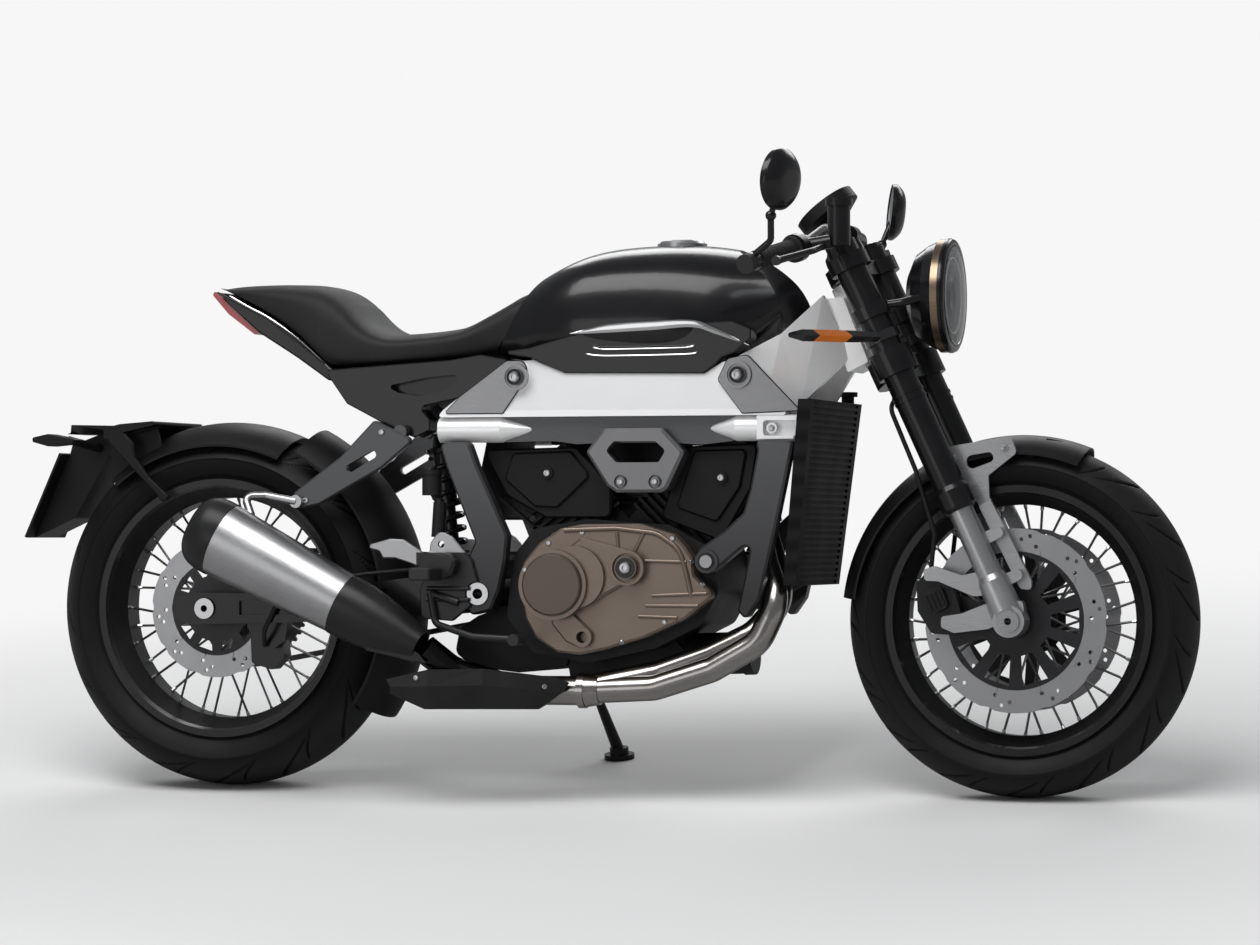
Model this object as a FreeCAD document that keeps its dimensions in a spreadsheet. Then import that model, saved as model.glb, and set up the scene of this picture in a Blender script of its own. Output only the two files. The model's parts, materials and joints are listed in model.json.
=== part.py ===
import FreeCAD, Part
import math
import os
import Sketcher
from FreeCAD import Placement, Rotation, Vector

# A cafe racer motorcycle, as it stands on its side stand.
# It is drawn upright, X forwards, Y to its left, Z up, with the origin on the ground
# under the rear axle, and every piece is then placed leaning over on the stand.

SIZES = {
    # stance
    "wheelbase": 1430,
    "lean": 9,
    "park_x": -680.2,
    "park_y": -160,
    # rear wheel
    "rear_tyre_radius": 315,
    "rear_tyre_depth": 94,
    "rear_tyre_width": 178,
    "rear_crown_radius": 104,
    "rear_rim_width": 140,
    "rear_disc_radius": 122,
    "rear_disc_y": 84,
    "rear_hub_width": 150,
    # front wheel
    "front_tyre_radius": 300,
    "front_tyre_depth": 79,
    "front_tyre_width": 120,
    "front_crown_radius": 66,
    "front_rim_width": 89,
    "front_disc_radius": 155,
    "front_disc_y": 66,
    "guard_half_width": 68,
    # both wheels
    "rim_depth": 26,
    "rim_flange": 6,
    "spoke_count": 36,
    "spoke_radius": 2.2,
    "hub_radius": 30,
    "hub_flange_radius": 50,
    "disc_thickness": 5,
    "disc_band": 36,
    "disc_window_count": 10,
    "disc_hole_count": 30,
    "disc_hole_radius": 3.5,
    "axle_radius": 12,
    "axle_bore_radius": 6,
    # chain drive, on the left
    "chain_y": 104,
    "chain_pitch": 15.875,
    "rear_sprocket_teeth": 41,
    "front_sprocket_teeth": 16,
    "sprocket_thickness": 7,
    "front_sprocket_x": 76,
    "front_sprocket_z": 17,
    # swingarm
    "pivot_x": 514,
    "pivot_z": 343,
    "pivot_bore_radius": 9,
    "arm_inner_y": 116,
    "arm_thickness": 24,
    "arm_height": 56,
    "shock_eye_width": 26,
    # steering
    "rake": 24.8,
    "fork_offset": 34,
    "fork_spacing": 208,
    "axle_lug_width": 48,
    "fork_length": 700,
    "fork_tube_radius": 27,
    "fork_slider_radius": 21.5,
    "fork_slider_reach": 210,
    "head_tube_radius": 33,
    "tube_above_clamp": 37,
    "lower_clamp_reach": 478,
    "lower_clamp_height": 44,
    "upper_clamp_height": 26,
    "stem_radius": 15,
    "clamp_wall": 9,
    "bar_radius": 11,
    "bar_end_y": 375,
    "grip_radius": 17,
    "grip_length": 125,
    "headlight_radius": 94,
    "headlight_depth": 76,
    "mirror_radius": 50,
    "mirror_y": 398,
    "instrument_radius": 56,
    # frame
    "beam_y": 158,
    "beam_thickness": 34,
    "leg_thickness": 26,
    "boss_radius": 23,
    "sleeve_radius": 22,
    # engine
    "case_right_y": 132,
    "case_left_y": 86,
    "cover_depth": 66,
    "cover_disc_radius": 55,
    "cylinder_width": 224,
    "v_angle": 78,
    "deck_height": 96,
    # bodywork
    "tank_width": 318,
    "seat_width": 250,
    "tank_top_z": 943,
    "cap_radius": 43,
    # exhaust
    "muffler_y": 205,
    "header_radius": 22,
    # radiator
    "radiator_width": 360,
    "radiator_thickness": 22,
    # side stand
    "stand_foot_y": 272,
    "stand_radius": 11,
    # gaps
    "seat_gap": 0.3,
    "bore_gap": 0.05,
}

doc = FreeCAD.newDocument("CafeRacer")
sheet = doc.addObject("Spreadsheet::Sheet", "Sizes")
for row, (name, value) in enumerate(SIZES.items(), 1):
    sheet.set(f"A{row}", name.replace("_", " "))
    sheet.set(f"B{row}", str(value))
    sheet.setAlias(f"B{row}", name)
doc.recompute()


class Size:
    """A length or angle that remembers its formula, so that a property can be bound to it."""

    def __init__(self, number, formula=None):
        self.number = float(number)
        self.formula = formula or f"({self.number:.6g})"

    def _join(self, other, sign, number):
        other = as_size(other)
        return Size(number, f"({self.formula} {sign} {other.formula})")

    def __float__(self):
        return self.number

    def __add__(self, other):
        return self._join(other, "+", self.number + float(other))

    def __sub__(self, other):
        return self._join(other, "-", self.number - float(other))

    def __mul__(self, other):
        return self._join(other, "*", self.number * float(other))

    def __truediv__(self, other):
        return self._join(other, "/", self.number / float(other))

    def __radd__(self, other):
        return as_size(other) + self

    def __rsub__(self, other):
        return as_size(other) - self

    def __rmul__(self, other):
        return as_size(other) * self

    def __neg__(self):
        return Size(-self.number, f"(0 - {self.formula})")


def as_size(value):
    return value if isinstance(value, Size) else Size(value)


class Sheet:
    """The sheet's cells by their names."""

    def __getattr__(self, name):
        return Size(getattr(sheet, name), f"Sizes.{name}")


s = Sheet()


def cosine(angle):
    return Size(math.cos(math.radians(float(angle))), f"cos({as_size(angle).formula})")


def sine(angle):
    return Size(math.sin(math.radians(float(angle))), f"sin({as_size(angle).formula})")


def bind(thing, prop, value):
    thing.setExpression(prop, as_size(value).formula)


# Places that several pieces share

AXIS_X = s.wheelbase - s.fork_offset * cosine(s.rake)
AXIS_Z = s.front_tyre_radius - s.fork_offset * sine(s.rake)


def on_axis(reach, forwards=0.0):
    """A point (x, z) at a reach up the steering axis and a distance square to it, forwards."""
    x = AXIS_X - as_size(reach) * sine(s.rake) + as_size(forwards) * cosine(s.rake)
    z = AXIS_Z + as_size(reach) * cosine(s.rake) + as_size(forwards) * sine(s.rake)
    return x, z


HEAD_X, HEAD_Z = on_axis(s.lower_clamp_reach)
UPPER_REACH = s.fork_length - s.tube_above_clamp
HEAD_TOP = UPPER_REACH - 4 - s.upper_clamp_height / 2
HEAD_LENGTH = HEAD_TOP - s.lower_clamp_reach - s.lower_clamp_height / 2
REAR_AXLE = Vector(0, 0, float(s.rear_tyre_radius))
FRONT_AXLE = Vector(float(s.wheelbase), 0, float(s.front_tyre_radius))
PIVOT = Vector(float(s.pivot_x), 0, float(s.pivot_z))
LIFT = float(s.rear_crown_radius) * (1 - math.cos(math.radians(float(s.lean))))
PARKED = Placement(Vector(float(s.park_x), float(s.park_y), LIFT), Rotation(Vector(1, 0, 0), -float(s.lean)))


DRAWN_PIVOT = (514.0, 343.0)
DRAWN_HEAD = (1198.6, 719.6)
DRAWN_REAR_RADIUS = 315.0
STRETCH = (float(HEAD_X) - float(s.pivot_x)) / (DRAWN_HEAD[0] - DRAWN_PIVOT[0])
RAISE = (float(HEAD_Z) - float(s.pivot_z)) / (DRAWN_HEAD[1] - DRAWN_PIVOT[1])
WIDEN = float(s.beam_y) / 158.0
PANEL_Y = 122 * WIDEN
SWING = (math.hypot(float(s.fork_spacing) / 2, float(s.fork_offset))
         + float(s.fork_tube_radius) + 12)
GRIP_START = 19.0


def back(dx, dz):
    """A place in the side view measured from the swingarm's pivot."""
    return s.pivot_x + dx, s.pivot_z + dz


def front(dx, dz):
    """A place in the side view measured from the steering head's lower bearing."""
    return HEAD_X + dx, HEAD_Z + dz


def flat(point):
    return float(point[0]), float(point[1])


def side(*spots):
    """Side-view places on the frame, drawn for one span from pivot to head and stretched to another."""
    return [(float(s.pivot_x) + (spot[0] - DRAWN_PIVOT[0]) * STRETCH,
             float(s.pivot_z) + (spot[1] - DRAWN_PIVOT[1]) * RAISE) + tuple(spot[2:]) for spot in spots]


def drawn(x, y, z):
    """A place on the frame with its distance across, stretched as the side view is."""
    at, high = side((x, z))[0]
    return at, y * WIDEN, high


def aft(*spots):
    """Side-view places round the rear wheel, which grow with the tyre."""
    share = float(s.rear_tyre_radius) / DRAWN_REAR_RADIUS
    return [(spot[0] * share, spot[1] * share) + tuple(spot[2:]) for spot in spots]


# Ways of making pieces

subparts = []


def finish(piece, local=None):
    """Places a finished sub-part on the parked motorcycle and keeps it for the hand-over."""
    piece.Placement = PARKED.multiply(local or Placement())
    subparts.append(piece)
    return piece


def new_body(label):
    body = doc.addObject("PartDesign::Body", label)
    body.Label = label
    return body


def role(body, name):
    return next(feature for feature in body.Origin.OriginFeatures if feature.Role == name)


def new_sketch(body, plane, offset=0.0):
    sketch = body.newObject("Sketcher::SketchObject", f"{body.Label}_sketch")
    sketch.AttachmentSupport = [(role(body, plane), "")]
    sketch.MapMode = "FlatFace"
    bind(sketch, "AttachmentOffset.Base.z", offset)
    return sketch


def hold(sketch, kind, *where, value):
    """Adds a dimension to a sketch and binds it to the sheet."""
    index = sketch.addConstraint(Sketcher.Constraint(kind, *where, float(value)))
    bind(sketch, f"Constraints[{index}]", value)


def hold_point(sketch, geometry, end, point):
    hold(sketch, "DistanceX", -1, 1, geometry, end, value=point[0])
    hold(sketch, "DistanceY", -1, 1, geometry, end, value=point[1])


def polygon(sketch, points):
    """A closed outline of straight edges whose corners are bound to the sheet."""
    first = sketch.GeometryCount
    count = len(points)
    for here, there in zip(points, points[1:] + points[:1]):
        sketch.addGeometry(Part.LineSegment(Vector(*flat(here), 0), Vector(*flat(there), 0)))
    for index in range(count):
        following = first + (index + 1) % count
        sketch.addConstraint(Sketcher.Constraint("Coincident", first + index, 2, following, 1))
    for index, point in enumerate(points):
        hold_point(sketch, first + index, 1, point)


def ring(sketch, centre, *radii):
    """Circles about one centre."""
    for radius in radii:
        middle = Vector(*flat(centre), 0)
        index = sketch.addGeometry(Part.Circle(middle, Vector(0, 0, 1), float(radius)))
        hold_point(sketch, index, 3, centre)
        hold(sketch, "Radius", index, value=radius)


def pad(body, sketch, length, symmetric=False, back_to_front=False):
    feature = body.newObject("PartDesign::Pad", f"{body.Label}_pad")
    feature.Profile = sketch
    feature.SideType = "Symmetric" if symmetric else "One side"
    feature.Reversed = back_to_front
    bind(feature, "Length", length)
    return feature


def pocket_through(body, sketch):
    feature = body.newObject("PartDesign::Pocket", f"{body.Label}_pocket")
    feature.Profile = sketch
    feature.Type = "ThroughAll"
    feature.SideType = "Symmetric"
    return feature


def revolve(body, sketch, axis="H_Axis"):
    feature = body.newObject("PartDesign::Revolution", f"{body.Label}_turned")
    feature.Profile = sketch
    feature.ReferenceAxis = (sketch, [axis])
    feature.Angle = 360
    return feature


def polar(body, feature, count, axis="Y_Axis"):
    pattern = body.newObject("PartDesign::PolarPattern", f"{body.Label}_pattern")
    pattern.Originals = [feature]
    pattern.Axis = (role(body, axis), [""])
    pattern.Angle = 360
    bind(pattern, "Occurrences", count)
    body.Tip = pattern
    return pattern


def mirrored(body, feature, plane="XZ_Plane"):
    mirror = body.newObject("PartDesign::Mirrored", f"{body.Label}_mirror")
    mirror.Originals = feature if isinstance(feature, list) else [feature]
    mirror.MirrorPlane = (role(body, plane), [""])
    body.Tip = mirror
    return mirror


def feature(label, shape, local=None):
    """A sub-part whose shape is worked out here from the sheet's sizes."""
    piece = doc.addObject("Part::Feature", label)
    piece.Label = label
    piece.Shape = shape
    return finish(piece, (local or Placement()).multiply(shape.Placement))


def fuse(*shapes):
    return shapes[0].multiFuse(list(shapes[1:])).removeSplitter()


def both_sides(shape):
    return [shape, shape.mirror(Vector(0, 0, 0), Vector(0, 1, 0))]


def pair(shape):
    return Part.makeCompound(both_sides(shape))


def rod(start, end, radius, end_radius=None):
    start = Vector(*start)
    end = Vector(*end)
    run = end - start
    if end_radius is None:
        return Part.makeCylinder(radius, run.Length, start, run)
    return Part.makeCone(radius, end_radius, run.Length, start, run)


def across(point, radius, y_from, y_to):
    """A round bar along Y."""
    x, z = flat(point)
    return rod((x, float(y_from), z), (x, float(y_to), z), float(radius))


def rounded_wire(points, radius):
    """A closed wire of straight edges joined by arcs; a point may carry its own radius."""
    corners = [(Vector(float(p[0]), 0, float(p[1])), p[2] if len(p) > 2 else radius) for p in points]
    edges = []
    ends = []
    count = len(corners)
    for index, (corner, bend) in enumerate(corners):
        before = (corners[index - 1][0] - corner)
        after = (corners[(index + 1) % count][0] - corner)
        turn = before.getAngle(after)
        trim = 0 if bend <= 0 else bend / math.tan(turn / 2)
        trim = min(trim, before.Length * 0.48, after.Length * 0.48)
        if trim < 0.01:
            ends.append((corner, corner))
            continue
        start = corner + before.normalize() * trim
        end = corner + after.normalize() * trim
        reach = trim / math.cos(turn / 2)
        inner = trim * math.tan(turn / 2)
        middle = corner + (before + after).normalize() * (reach - inner)
        edges.append((index, Part.Arc(start, middle, end).toShape()))
        ends.append((start, end))
    arcs = dict(edges)
    chain = []
    for index in range(count):
        if index in arcs:
            chain.append(arcs[index])
        start = ends[index][1]
        end = ends[(index + 1) % count][0]
        if (end - start).Length > 0.01:
            chain.append(Part.makeLine(start, end))
    return Part.Wire(chain)


def plate(points, y_from, y_to, radius=0.0, bevel=0.0):
    """A plate with a rounded outline in the side view; the edges of its first face may be bevelled."""
    face = Part.Face(rounded_wire(points, radius))
    face.translate(Vector(0, float(y_from), 0))
    solid = face.extrude(Vector(0, float(y_to) - float(y_from), 0))
    if bevel:
        face_y = float(y_from)
        rim = [edge for edge in solid.Edges if all(abs(end.Y - face_y) < 0.01 for end in edge.Vertexes)]
        solid = solid.makeChamfer(bevel, rim)
    return solid


def facets(corners, faces, depth):
    """A sheet of flat triangles between named corners, thickened along Y."""
    solids = []
    for names in faces:
        loop = [Vector(*corners[name]) for name in names]
        solids.append(Part.Face(Part.makePolygon(loop + loop[:1])).extrude(Vector(0, depth, 0)))
    return fuse(*solids)


def hub_profile(left, right):
    """A hub's section: a drum with two spoke flanges and, at each end, a seat and a nose."""
    nose = float(s.disc_thickness) + 2
    bore = float(s.axle_radius + s.bore_gap)
    drum = float(s.hub_radius)
    seat = drum + 14
    flange = float(s.hub_flange_radius)
    spoke = min(left, right) - 24
    return [(-right - nose, bore), (left + nose, bore), (left + nose, drum), (left, drum), (left, seat),
            (left - 6, seat), (left - 8, drum), (spoke + 3, drum), (spoke + 3, flange), (spoke - 3, flange),
            (spoke - 6, drum - 4), (6 - spoke, drum - 4), (3 - spoke, flange), (-spoke - 3, flange),
            (-spoke - 3, drum), (8 - right, drum), (6 - right, seat), (-right, seat), (-right, drum),
            (-right - nose, drum)], spoke


def smooth_ring(points):
    """A closed smooth curve through points in space."""
    curve = Part.BSplineCurve()
    curve.interpolate([Vector(*point) for point in points], PeriodicFlag=True)
    return Part.Wire(curve.toShape())


def section(x, half_width, low, high, low_width=0.75, crown=0.35, count=12, tilt=0.0):
    """A rounded cross-section: a squarish oval, narrower below, whose X leans with height."""
    points = []
    middle = (low + high) / 2
    rise = (high - low) / 2
    for index in range(count):
        angle = 2 * math.pi * index / count
        up = math.sin(angle)
        out = math.cos(angle)
        square_up = math.copysign(abs(up) ** (1 - crown), up)
        square_out = math.copysign(abs(out) ** 0.7, out)
        narrow = 1 - (1 - low_width) * (1 - square_up) / 2
        z = middle + rise * square_up
        points.append((x + tilt * (z - middle), half_width * square_out * narrow, z))
    return smooth_ring(points)


def path_wire(points, bend):
    """Straight runs joined by tangent arcs."""
    stops = [Vector(*point) for point in points]
    chain = []
    last = stops[0]
    for index in range(1, len(stops) - 1):
        corner = stops[index]
        before = stops[index - 1] - corner
        after = stops[index + 1] - corner
        turn = before.getAngle(after)
        trim = min(bend / math.tan(turn / 2), before.Length * 0.45, after.Length * 0.45)
        start = corner + before.normalize() * trim
        end = corner + after.normalize() * trim
        sink = trim / math.cos(turn / 2) - trim * math.tan(turn / 2)
        middle = corner + (before + after).normalize() * sink
        chain.append(Part.makeLine(last, start))
        chain.append(Part.Arc(start, middle, end).toShape())
        last = end
    chain.append(Part.makeLine(last, stops[-1]))
    return Part.Wire(chain)


def tube(points, radius, bend=60.0):
    """A round bar or pipe along straight runs and tangent arcs."""
    path = path_wire(points, bend)
    start = Vector(*points[0])
    circle = Part.Circle(start, Vector(*points[1]) - start, radius)
    return path.makePipeShell([Part.Wire(circle.toShape())], True, False)


def turned(profile, centre=Vector(0, 0, 0)):
    """A closed profile of (y, radius) points turned about the Y axis."""
    wire = Part.makePolygon([Vector(0, y, r) for y, r in profile + profile[:1]])
    solid = Part.Face(wire).revolve(Vector(0, 0, 0), Vector(0, 1, 0), 360)
    solid.translate(centre)
    return solid


# Wheels, each drawn about its own axle

def root_of(square):
    return Size(math.sqrt(float(square)), f"sqrt({square.formula})")


def make_tyre(label, radius, width, crown, rim_width, depth, axle):
    body = new_body(label)
    sketch = new_sketch(body, "YZ_Plane")
    half = width / 2
    centre = radius - crown
    shoulder = centre + root_of(crown * crown - half * half)
    bead = radius - depth + s.seat_gap
    seat = rim_width / 2 - s.seat_gap
    left = (-half, shoulder)
    right = (half, shoulder)
    crown_arc = Part.Arc(Vector(*flat(right), 0), Vector(0, float(radius), 0), Vector(*flat(left), 0))
    sketch.addGeometry(crown_arc)
    corners = [left, (-seat, bead + 10), (-seat, bead), (seat, bead), (seat, bead + 10), right]
    for here, there in zip(corners, corners[1:]):
        sketch.addGeometry(Part.LineSegment(Vector(*flat(here), 0), Vector(*flat(there), 0)))
    sketch.addConstraint(Sketcher.Constraint("Coincident", 0, 2, 1, 1))
    for index in range(1, 5):
        sketch.addConstraint(Sketcher.Constraint("Coincident", index, 2, index + 1, 1))
        hold_point(sketch, index, 2, corners[index])
    sketch.addConstraint(Sketcher.Constraint("Coincident", 5, 2, 0, 1))
    hold_point(sketch, 1, 1, left)
    hold_point(sketch, 5, 2, right)
    hold(sketch, "Radius", 0, value=crown)
    revolve(body, sketch)
    return finish(body, Placement(axle, Rotation()))


def tank_section(x, half, low, high, crown=0.42):
    """A tank's cross-section: flat below, upright sides, a rounded shoulder and a crowned top."""
    tall = high - low
    shares = [(0.0, 0.0), (0.62, 0.0), (0.9, 0.05), (1.0, 0.22), (0.99, 0.46), (0.9, 0.7), (0.72, 0.86),
              (crown, 0.96), (0.0, 1.0)]
    near = [(x, half * out, low + tall * up) for out, up in shares]
    far = [(x, -y, z) for x, y, z in near[-2:0:-1]]
    return smooth_ring(near + far)


def rear_slope(gap, y_half):
    """The block behind the tank's slanted rear face, set back by a gap."""
    return plate(side((512 - gap, 740), (574 - gap, 850), (610 - gap, 900), (-90, 960), (-90, 740)),
                 -y_half, y_half)


def make_rim(label, rim_width, bead, left, right, axle):
    """Rim ring, hub and crossed wire spokes in one piece."""
    bead = float(bead)
    half = float(rim_width) / 2
    flange = float(s.rim_flange)
    depth = float(s.rim_depth)
    well = half * 0.35
    side = half + flange
    rim = turned([(-side, bead + 7), (-half, bead + 7), (-half, bead), (half, bead), (half, bead + 7),
                  (side, bead + 7), (side, bead - 5), (half - 8, bead - 8), (well, bead - depth),
                  (-well, bead - depth), (8 - half, bead - 8), (-side, bead - 5)])
    profile, spoke_y = hub_profile(float(left), float(right))
    spokes = []
    count = int(float(s.spoke_count))
    swing = 2 * math.pi / count * 3.2
    for index in range(count):
        side_sign = 1 if index % 2 else -1
        lean_sign = 1 if index % 4 < 2 else -1
        angle = 2 * math.pi * index / count
        start = angle - lean_sign * swing
        r_in = float(s.hub_flange_radius) - 4
        r_out = bead - depth + 3
        low = Vector(r_in * math.cos(start), side_sign * (spoke_y + lean_sign * 1.5), r_in * math.sin(start))
        high = Vector(r_out * math.cos(angle), side_sign * well * 0.6, r_out * math.sin(angle))
        run = high - low
        face = Part.Face(Part.makePolygon(square_about(low, run, float(s.spoke_radius))))
        spokes.append(face.extrude(run))
    return feature(label, fuse(rim, turned(profile), *spokes), Placement(axle, Rotation()))


def square_about(centre, direction, radius):
    """The corners of a small square across a direction, closed."""
    side = direction.cross(Vector(0, 1, 0)).normalize() * radius
    other = direction.cross(side).normalize() * radius
    corners = [centre + side, centre + other, centre - side, centre - other]
    return corners + corners[:1]


def make_disc(label, radius, places, axle):
    """Drilled and scalloped brake discs on windowed carriers, one at each place along the axle."""
    body = new_body(label)
    body.AllowCompound = True
    inner = radius - s.disc_band
    for place_y in places:
        band = new_sketch(body, "XZ_Plane", place_y)
        ring(band, (0, 0), radius, s.hub_radius + s.seat_gap)
        pad(body, band, s.disc_thickness, symmetric=True)
        button = new_sketch(body, "XZ_Plane", place_y)
        ring(button, (inner, 0), as_size(6))
        polar(body, pad(body, button, s.disc_thickness + 3, symmetric=True), s.disc_window_count)
    window = new_sketch(body, "XZ_Plane")
    near = s.hub_flange_radius + 9
    far = inner - 11
    polygon(window, [(near, -near * 0.17), (far, -far * 0.21), (far, far * 0.21), (near, near * 0.17)])
    polar(body, pocket_through(body, window), s.disc_window_count)
    scallop = new_sketch(body, "XZ_Plane")
    ring(scallop, (radius + 30, 0), as_size(32.5))
    polar(body, pocket_through(body, scallop), s.disc_window_count)
    holes = new_sketch(body, "XZ_Plane")
    slant = 0.1
    rows = ((radius - 11, 0.14), (radius - s.disc_band / 2, 0.14 + slant), (inner + 10, 0.14 - slant))
    for reach, turn in rows:
        ring(holes, (reach * math.cos(turn), reach * math.sin(turn)), s.disc_hole_radius)
    polar(body, pocket_through(body, holes), s.disc_hole_count / 3)
    return finish(body, Placement(axle, Rotation()))


def make_sprocket(label, teeth, axle, bore):
    """A toothed wheel whose tips stay just under the chain's rollers."""
    count = int(float(teeth))
    pitch_radius = float(s.chain_pitch) / 2 / math.sin(math.pi / count)
    tip = pitch_radius - 5
    root = tip - 6
    corners = []
    for tooth in range(count):
        for share, radius in ((0.0, root), (0.3, root), (0.5, tip), (0.8, tip)):
            angle = 2 * math.pi * (tooth + share) / count
            corners.append((radius * math.cos(angle), radius * math.sin(angle)))
    thickness = float(s.sprocket_thickness)
    y = float(s.chain_y) - thickness / 2
    wheel = plate(corners, y, y + thickness)
    wheel = wheel.cut(across((0, 0), bore, y - 1, y + thickness + 1))
    if count > 30:
        for index in range(5):
            angle = 2 * math.pi * index / 5
            spot = (root * 0.7 * math.cos(angle), root * 0.7 * math.sin(angle))
            wheel = wheel.cut(across(spot, root * 0.2, y - 1, y + thickness + 1))
    wheel.translate(axle)
    return wheel


FRONT_SPROCKET = PIVOT + Vector(float(s.front_sprocket_x), 0, float(s.front_sprocket_z))


def rear_wheel():
    make_tyre("rear_tyre", s.rear_tyre_radius, s.rear_tyre_width, s.rear_crown_radius,
              s.rear_rim_width, s.rear_tyre_depth, REAR_AXLE)
    seat = float(s.disc_thickness) / 2 + float(s.seat_gap)
    bead = s.rear_tyre_radius - s.rear_tyre_depth
    make_rim("rear_rim", s.rear_rim_width, bead, s.rear_hub_width / 2, s.rear_disc_y - seat, REAR_AXLE)
    make_disc("rear_disc", s.rear_disc_radius, [s.rear_disc_y], REAR_AXLE)
    bore = float(s.hub_radius + s.seat_gap)
    toothed = make_sprocket("rear_sprocket", s.rear_sprocket_teeth, Vector(), bore)
    hub_end = float(s.rear_hub_width) / 2 + float(s.seat_gap)
    outer = float(s.chain_y) + 5
    carrier = turned([(hub_end, bore), (outer, bore), (outer, 40), (outer - 3, 52), (hub_end, 58)])
    feature("rear_sprocket", fuse(toothed, carrier), Placement(REAR_AXLE, Rotation()))


def front_wheel():
    make_tyre("front_tyre", s.front_tyre_radius, s.front_tyre_width, s.front_crown_radius,
              s.front_rim_width, s.front_tyre_depth, FRONT_AXLE)
    bead = s.front_tyre_radius - s.front_tyre_depth
    seat = s.front_disc_y - s.disc_thickness / 2 - s.seat_gap
    make_rim("front_rim", s.front_rim_width, bead, seat, seat, FRONT_AXLE)
    make_disc("front_discs", s.front_disc_radius, [s.front_disc_y, -s.front_disc_y], FRONT_AXLE)


# Chain, swingarm and rear suspension

def chain_loop(offset):
    """The chain's closed line in the side view, an offset outside its pitch line."""
    near = Vector(0, 0, float(s.rear_tyre_radius))
    far = FRONT_SPROCKET
    big = float(s.chain_pitch) / 2 / math.sin(math.pi / float(s.rear_sprocket_teeth)) + offset
    small = float(s.chain_pitch) / 2 / math.sin(math.pi / float(s.front_sprocket_teeth)) + offset
    run = far - near
    slope = math.atan2(run.z, run.x)
    spread = math.acos((big - small) / run.Length)

    def spot(centre, radius, angle):
        return Vector(centre.x + radius * math.cos(angle), 0, centre.z + radius * math.sin(angle))

    top, low = slope + spread, slope - spread
    upper = (spot(near, big, top), spot(far, small, top))
    lower = (spot(far, small, low), spot(near, big, low))
    return Part.Wire([
        Part.makeLine(*upper),
        Part.Arc(upper[1], spot(far, small, slope), lower[0]).toShape(),
        Part.makeLine(*lower),
        Part.Arc(lower[1], spot(near, big, slope + math.pi), upper[0]).toShape()])


def drive_chain():
    """A fixed loop: two bands of link plates joined by rollers that clear the sprockets."""
    line = chain_loop(0)
    outer = Part.Face(chain_loop(6.5))
    band = outer.cut(Part.Face(chain_loop(-6.5)))
    bands = []
    for y in (4.5, -7.5):
        side = band.extrude(Vector(0, 3, 0))
        side.translate(Vector(0, float(s.chain_y) + y, 0))
        bands.append(side)
    count = round(line.Length / float(s.chain_pitch))
    pins = []
    for spot in line.discretize(Number=count + 1)[:-1]:
        middle = Vector(spot.x, float(s.chain_y) - 8.5, spot.z)
        face = Part.Face(Part.makePolygon(square_about(middle, Vector(0.001, 1, 0), 3.2)))
        pins.append(face.extrude(Vector(0, 17, 0)))
    feature("drive_chain", bands[0].multiFuse([bands[1]] + pins))


def swingarm():
    body = new_body("swingarm")
    inner = s.arm_inner_y
    arm = new_sketch(body, "XZ_Plane", inner)
    rise = s.arm_height / 2
    z = s.rear_tyre_radius
    polygon(arm, [(as_size(-58), z - rise * 0.55), (as_size(-30), z - rise),
                  (s.pivot_x * 0.5, z - rise * 0.75), (s.pivot_x - 4, s.pivot_z - 30),
                  (s.pivot_x + 24, s.pivot_z - 20), (s.pivot_x + 24, s.pivot_z + 20),
                  (s.pivot_x - 4, s.pivot_z + 30), (s.pivot_x * 0.72, s.pivot_z + 26),
                  (s.pivot_x * 0.3, z + rise * 0.9), (as_size(-24), z + rise),
                  (as_size(-58), z + rise * 0.6)])
    right = pad(body, arm, s.arm_thickness)
    mirrored(body, right)
    recess = new_sketch(body, "XZ_Plane", inner + s.arm_thickness)
    polygon(recess, [(as_size(64), z - rise * 0.4), (s.pivot_x * 0.62, z - rise * 0.3),
                     (s.pivot_x * 0.66, s.pivot_z + 8), (as_size(64), z + rise * 0.5)])
    groove = body.newObject("PartDesign::Pocket", "swingarm_groove")
    groove.Profile = recess
    bind(groove, "Length", s.arm_thickness / 4)
    mirrored(body, groove)
    crossing = new_sketch(body, "XZ_Plane")
    ring(crossing, (s.pivot_x, s.pivot_z), as_size(24))
    pad(body, crossing, inner * 2 + 2, symmetric=True)
    bridge = new_sketch(body, "XZ_Plane")
    bx, bz = s.pivot_x - 100, s.pivot_z - 6
    polygon(bridge, [(bx - 22, bz - 14), (bx + 30, bz - 14), (bx + 30, bz + 24), (bx - 22, bz + 24)])
    pad(body, bridge, inner * 2 + 2, symmetric=True)
    clevis = new_sketch(body, "XZ_Plane")
    polygon(clevis, [(bx - 16, bz + 20), (bx + 22, bz + 20), (bx + 17, bz + 58), (bx - 11, bz + 58)])
    pad(body, clevis, s.shock_eye_width + 16, symmetric=True)
    slot = new_sketch(body, "XZ_Plane")
    polygon(slot, [(bx - 20, bz + 30), (bx + 26, bz + 30), (bx + 26, bz + 60), (bx - 20, bz + 60)])
    gap = body.newObject("PartDesign::Pocket", "swingarm_slot")
    gap.Profile = slot
    gap.SideType = "Symmetric"
    bind(gap, "Length", s.shock_eye_width + s.seat_gap * 2)
    bores = new_sketch(body, "XZ_Plane")
    ring(bores, (0, z), s.axle_radius + s.bore_gap)
    ring(bores, (s.pivot_x, s.pivot_z), s.pivot_bore_radius + 4 + s.bore_gap)
    pocket_through(body, bores)
    finish(body)


LEG_Y = s.arm_inner_y + s.arm_thickness + 3


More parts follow.
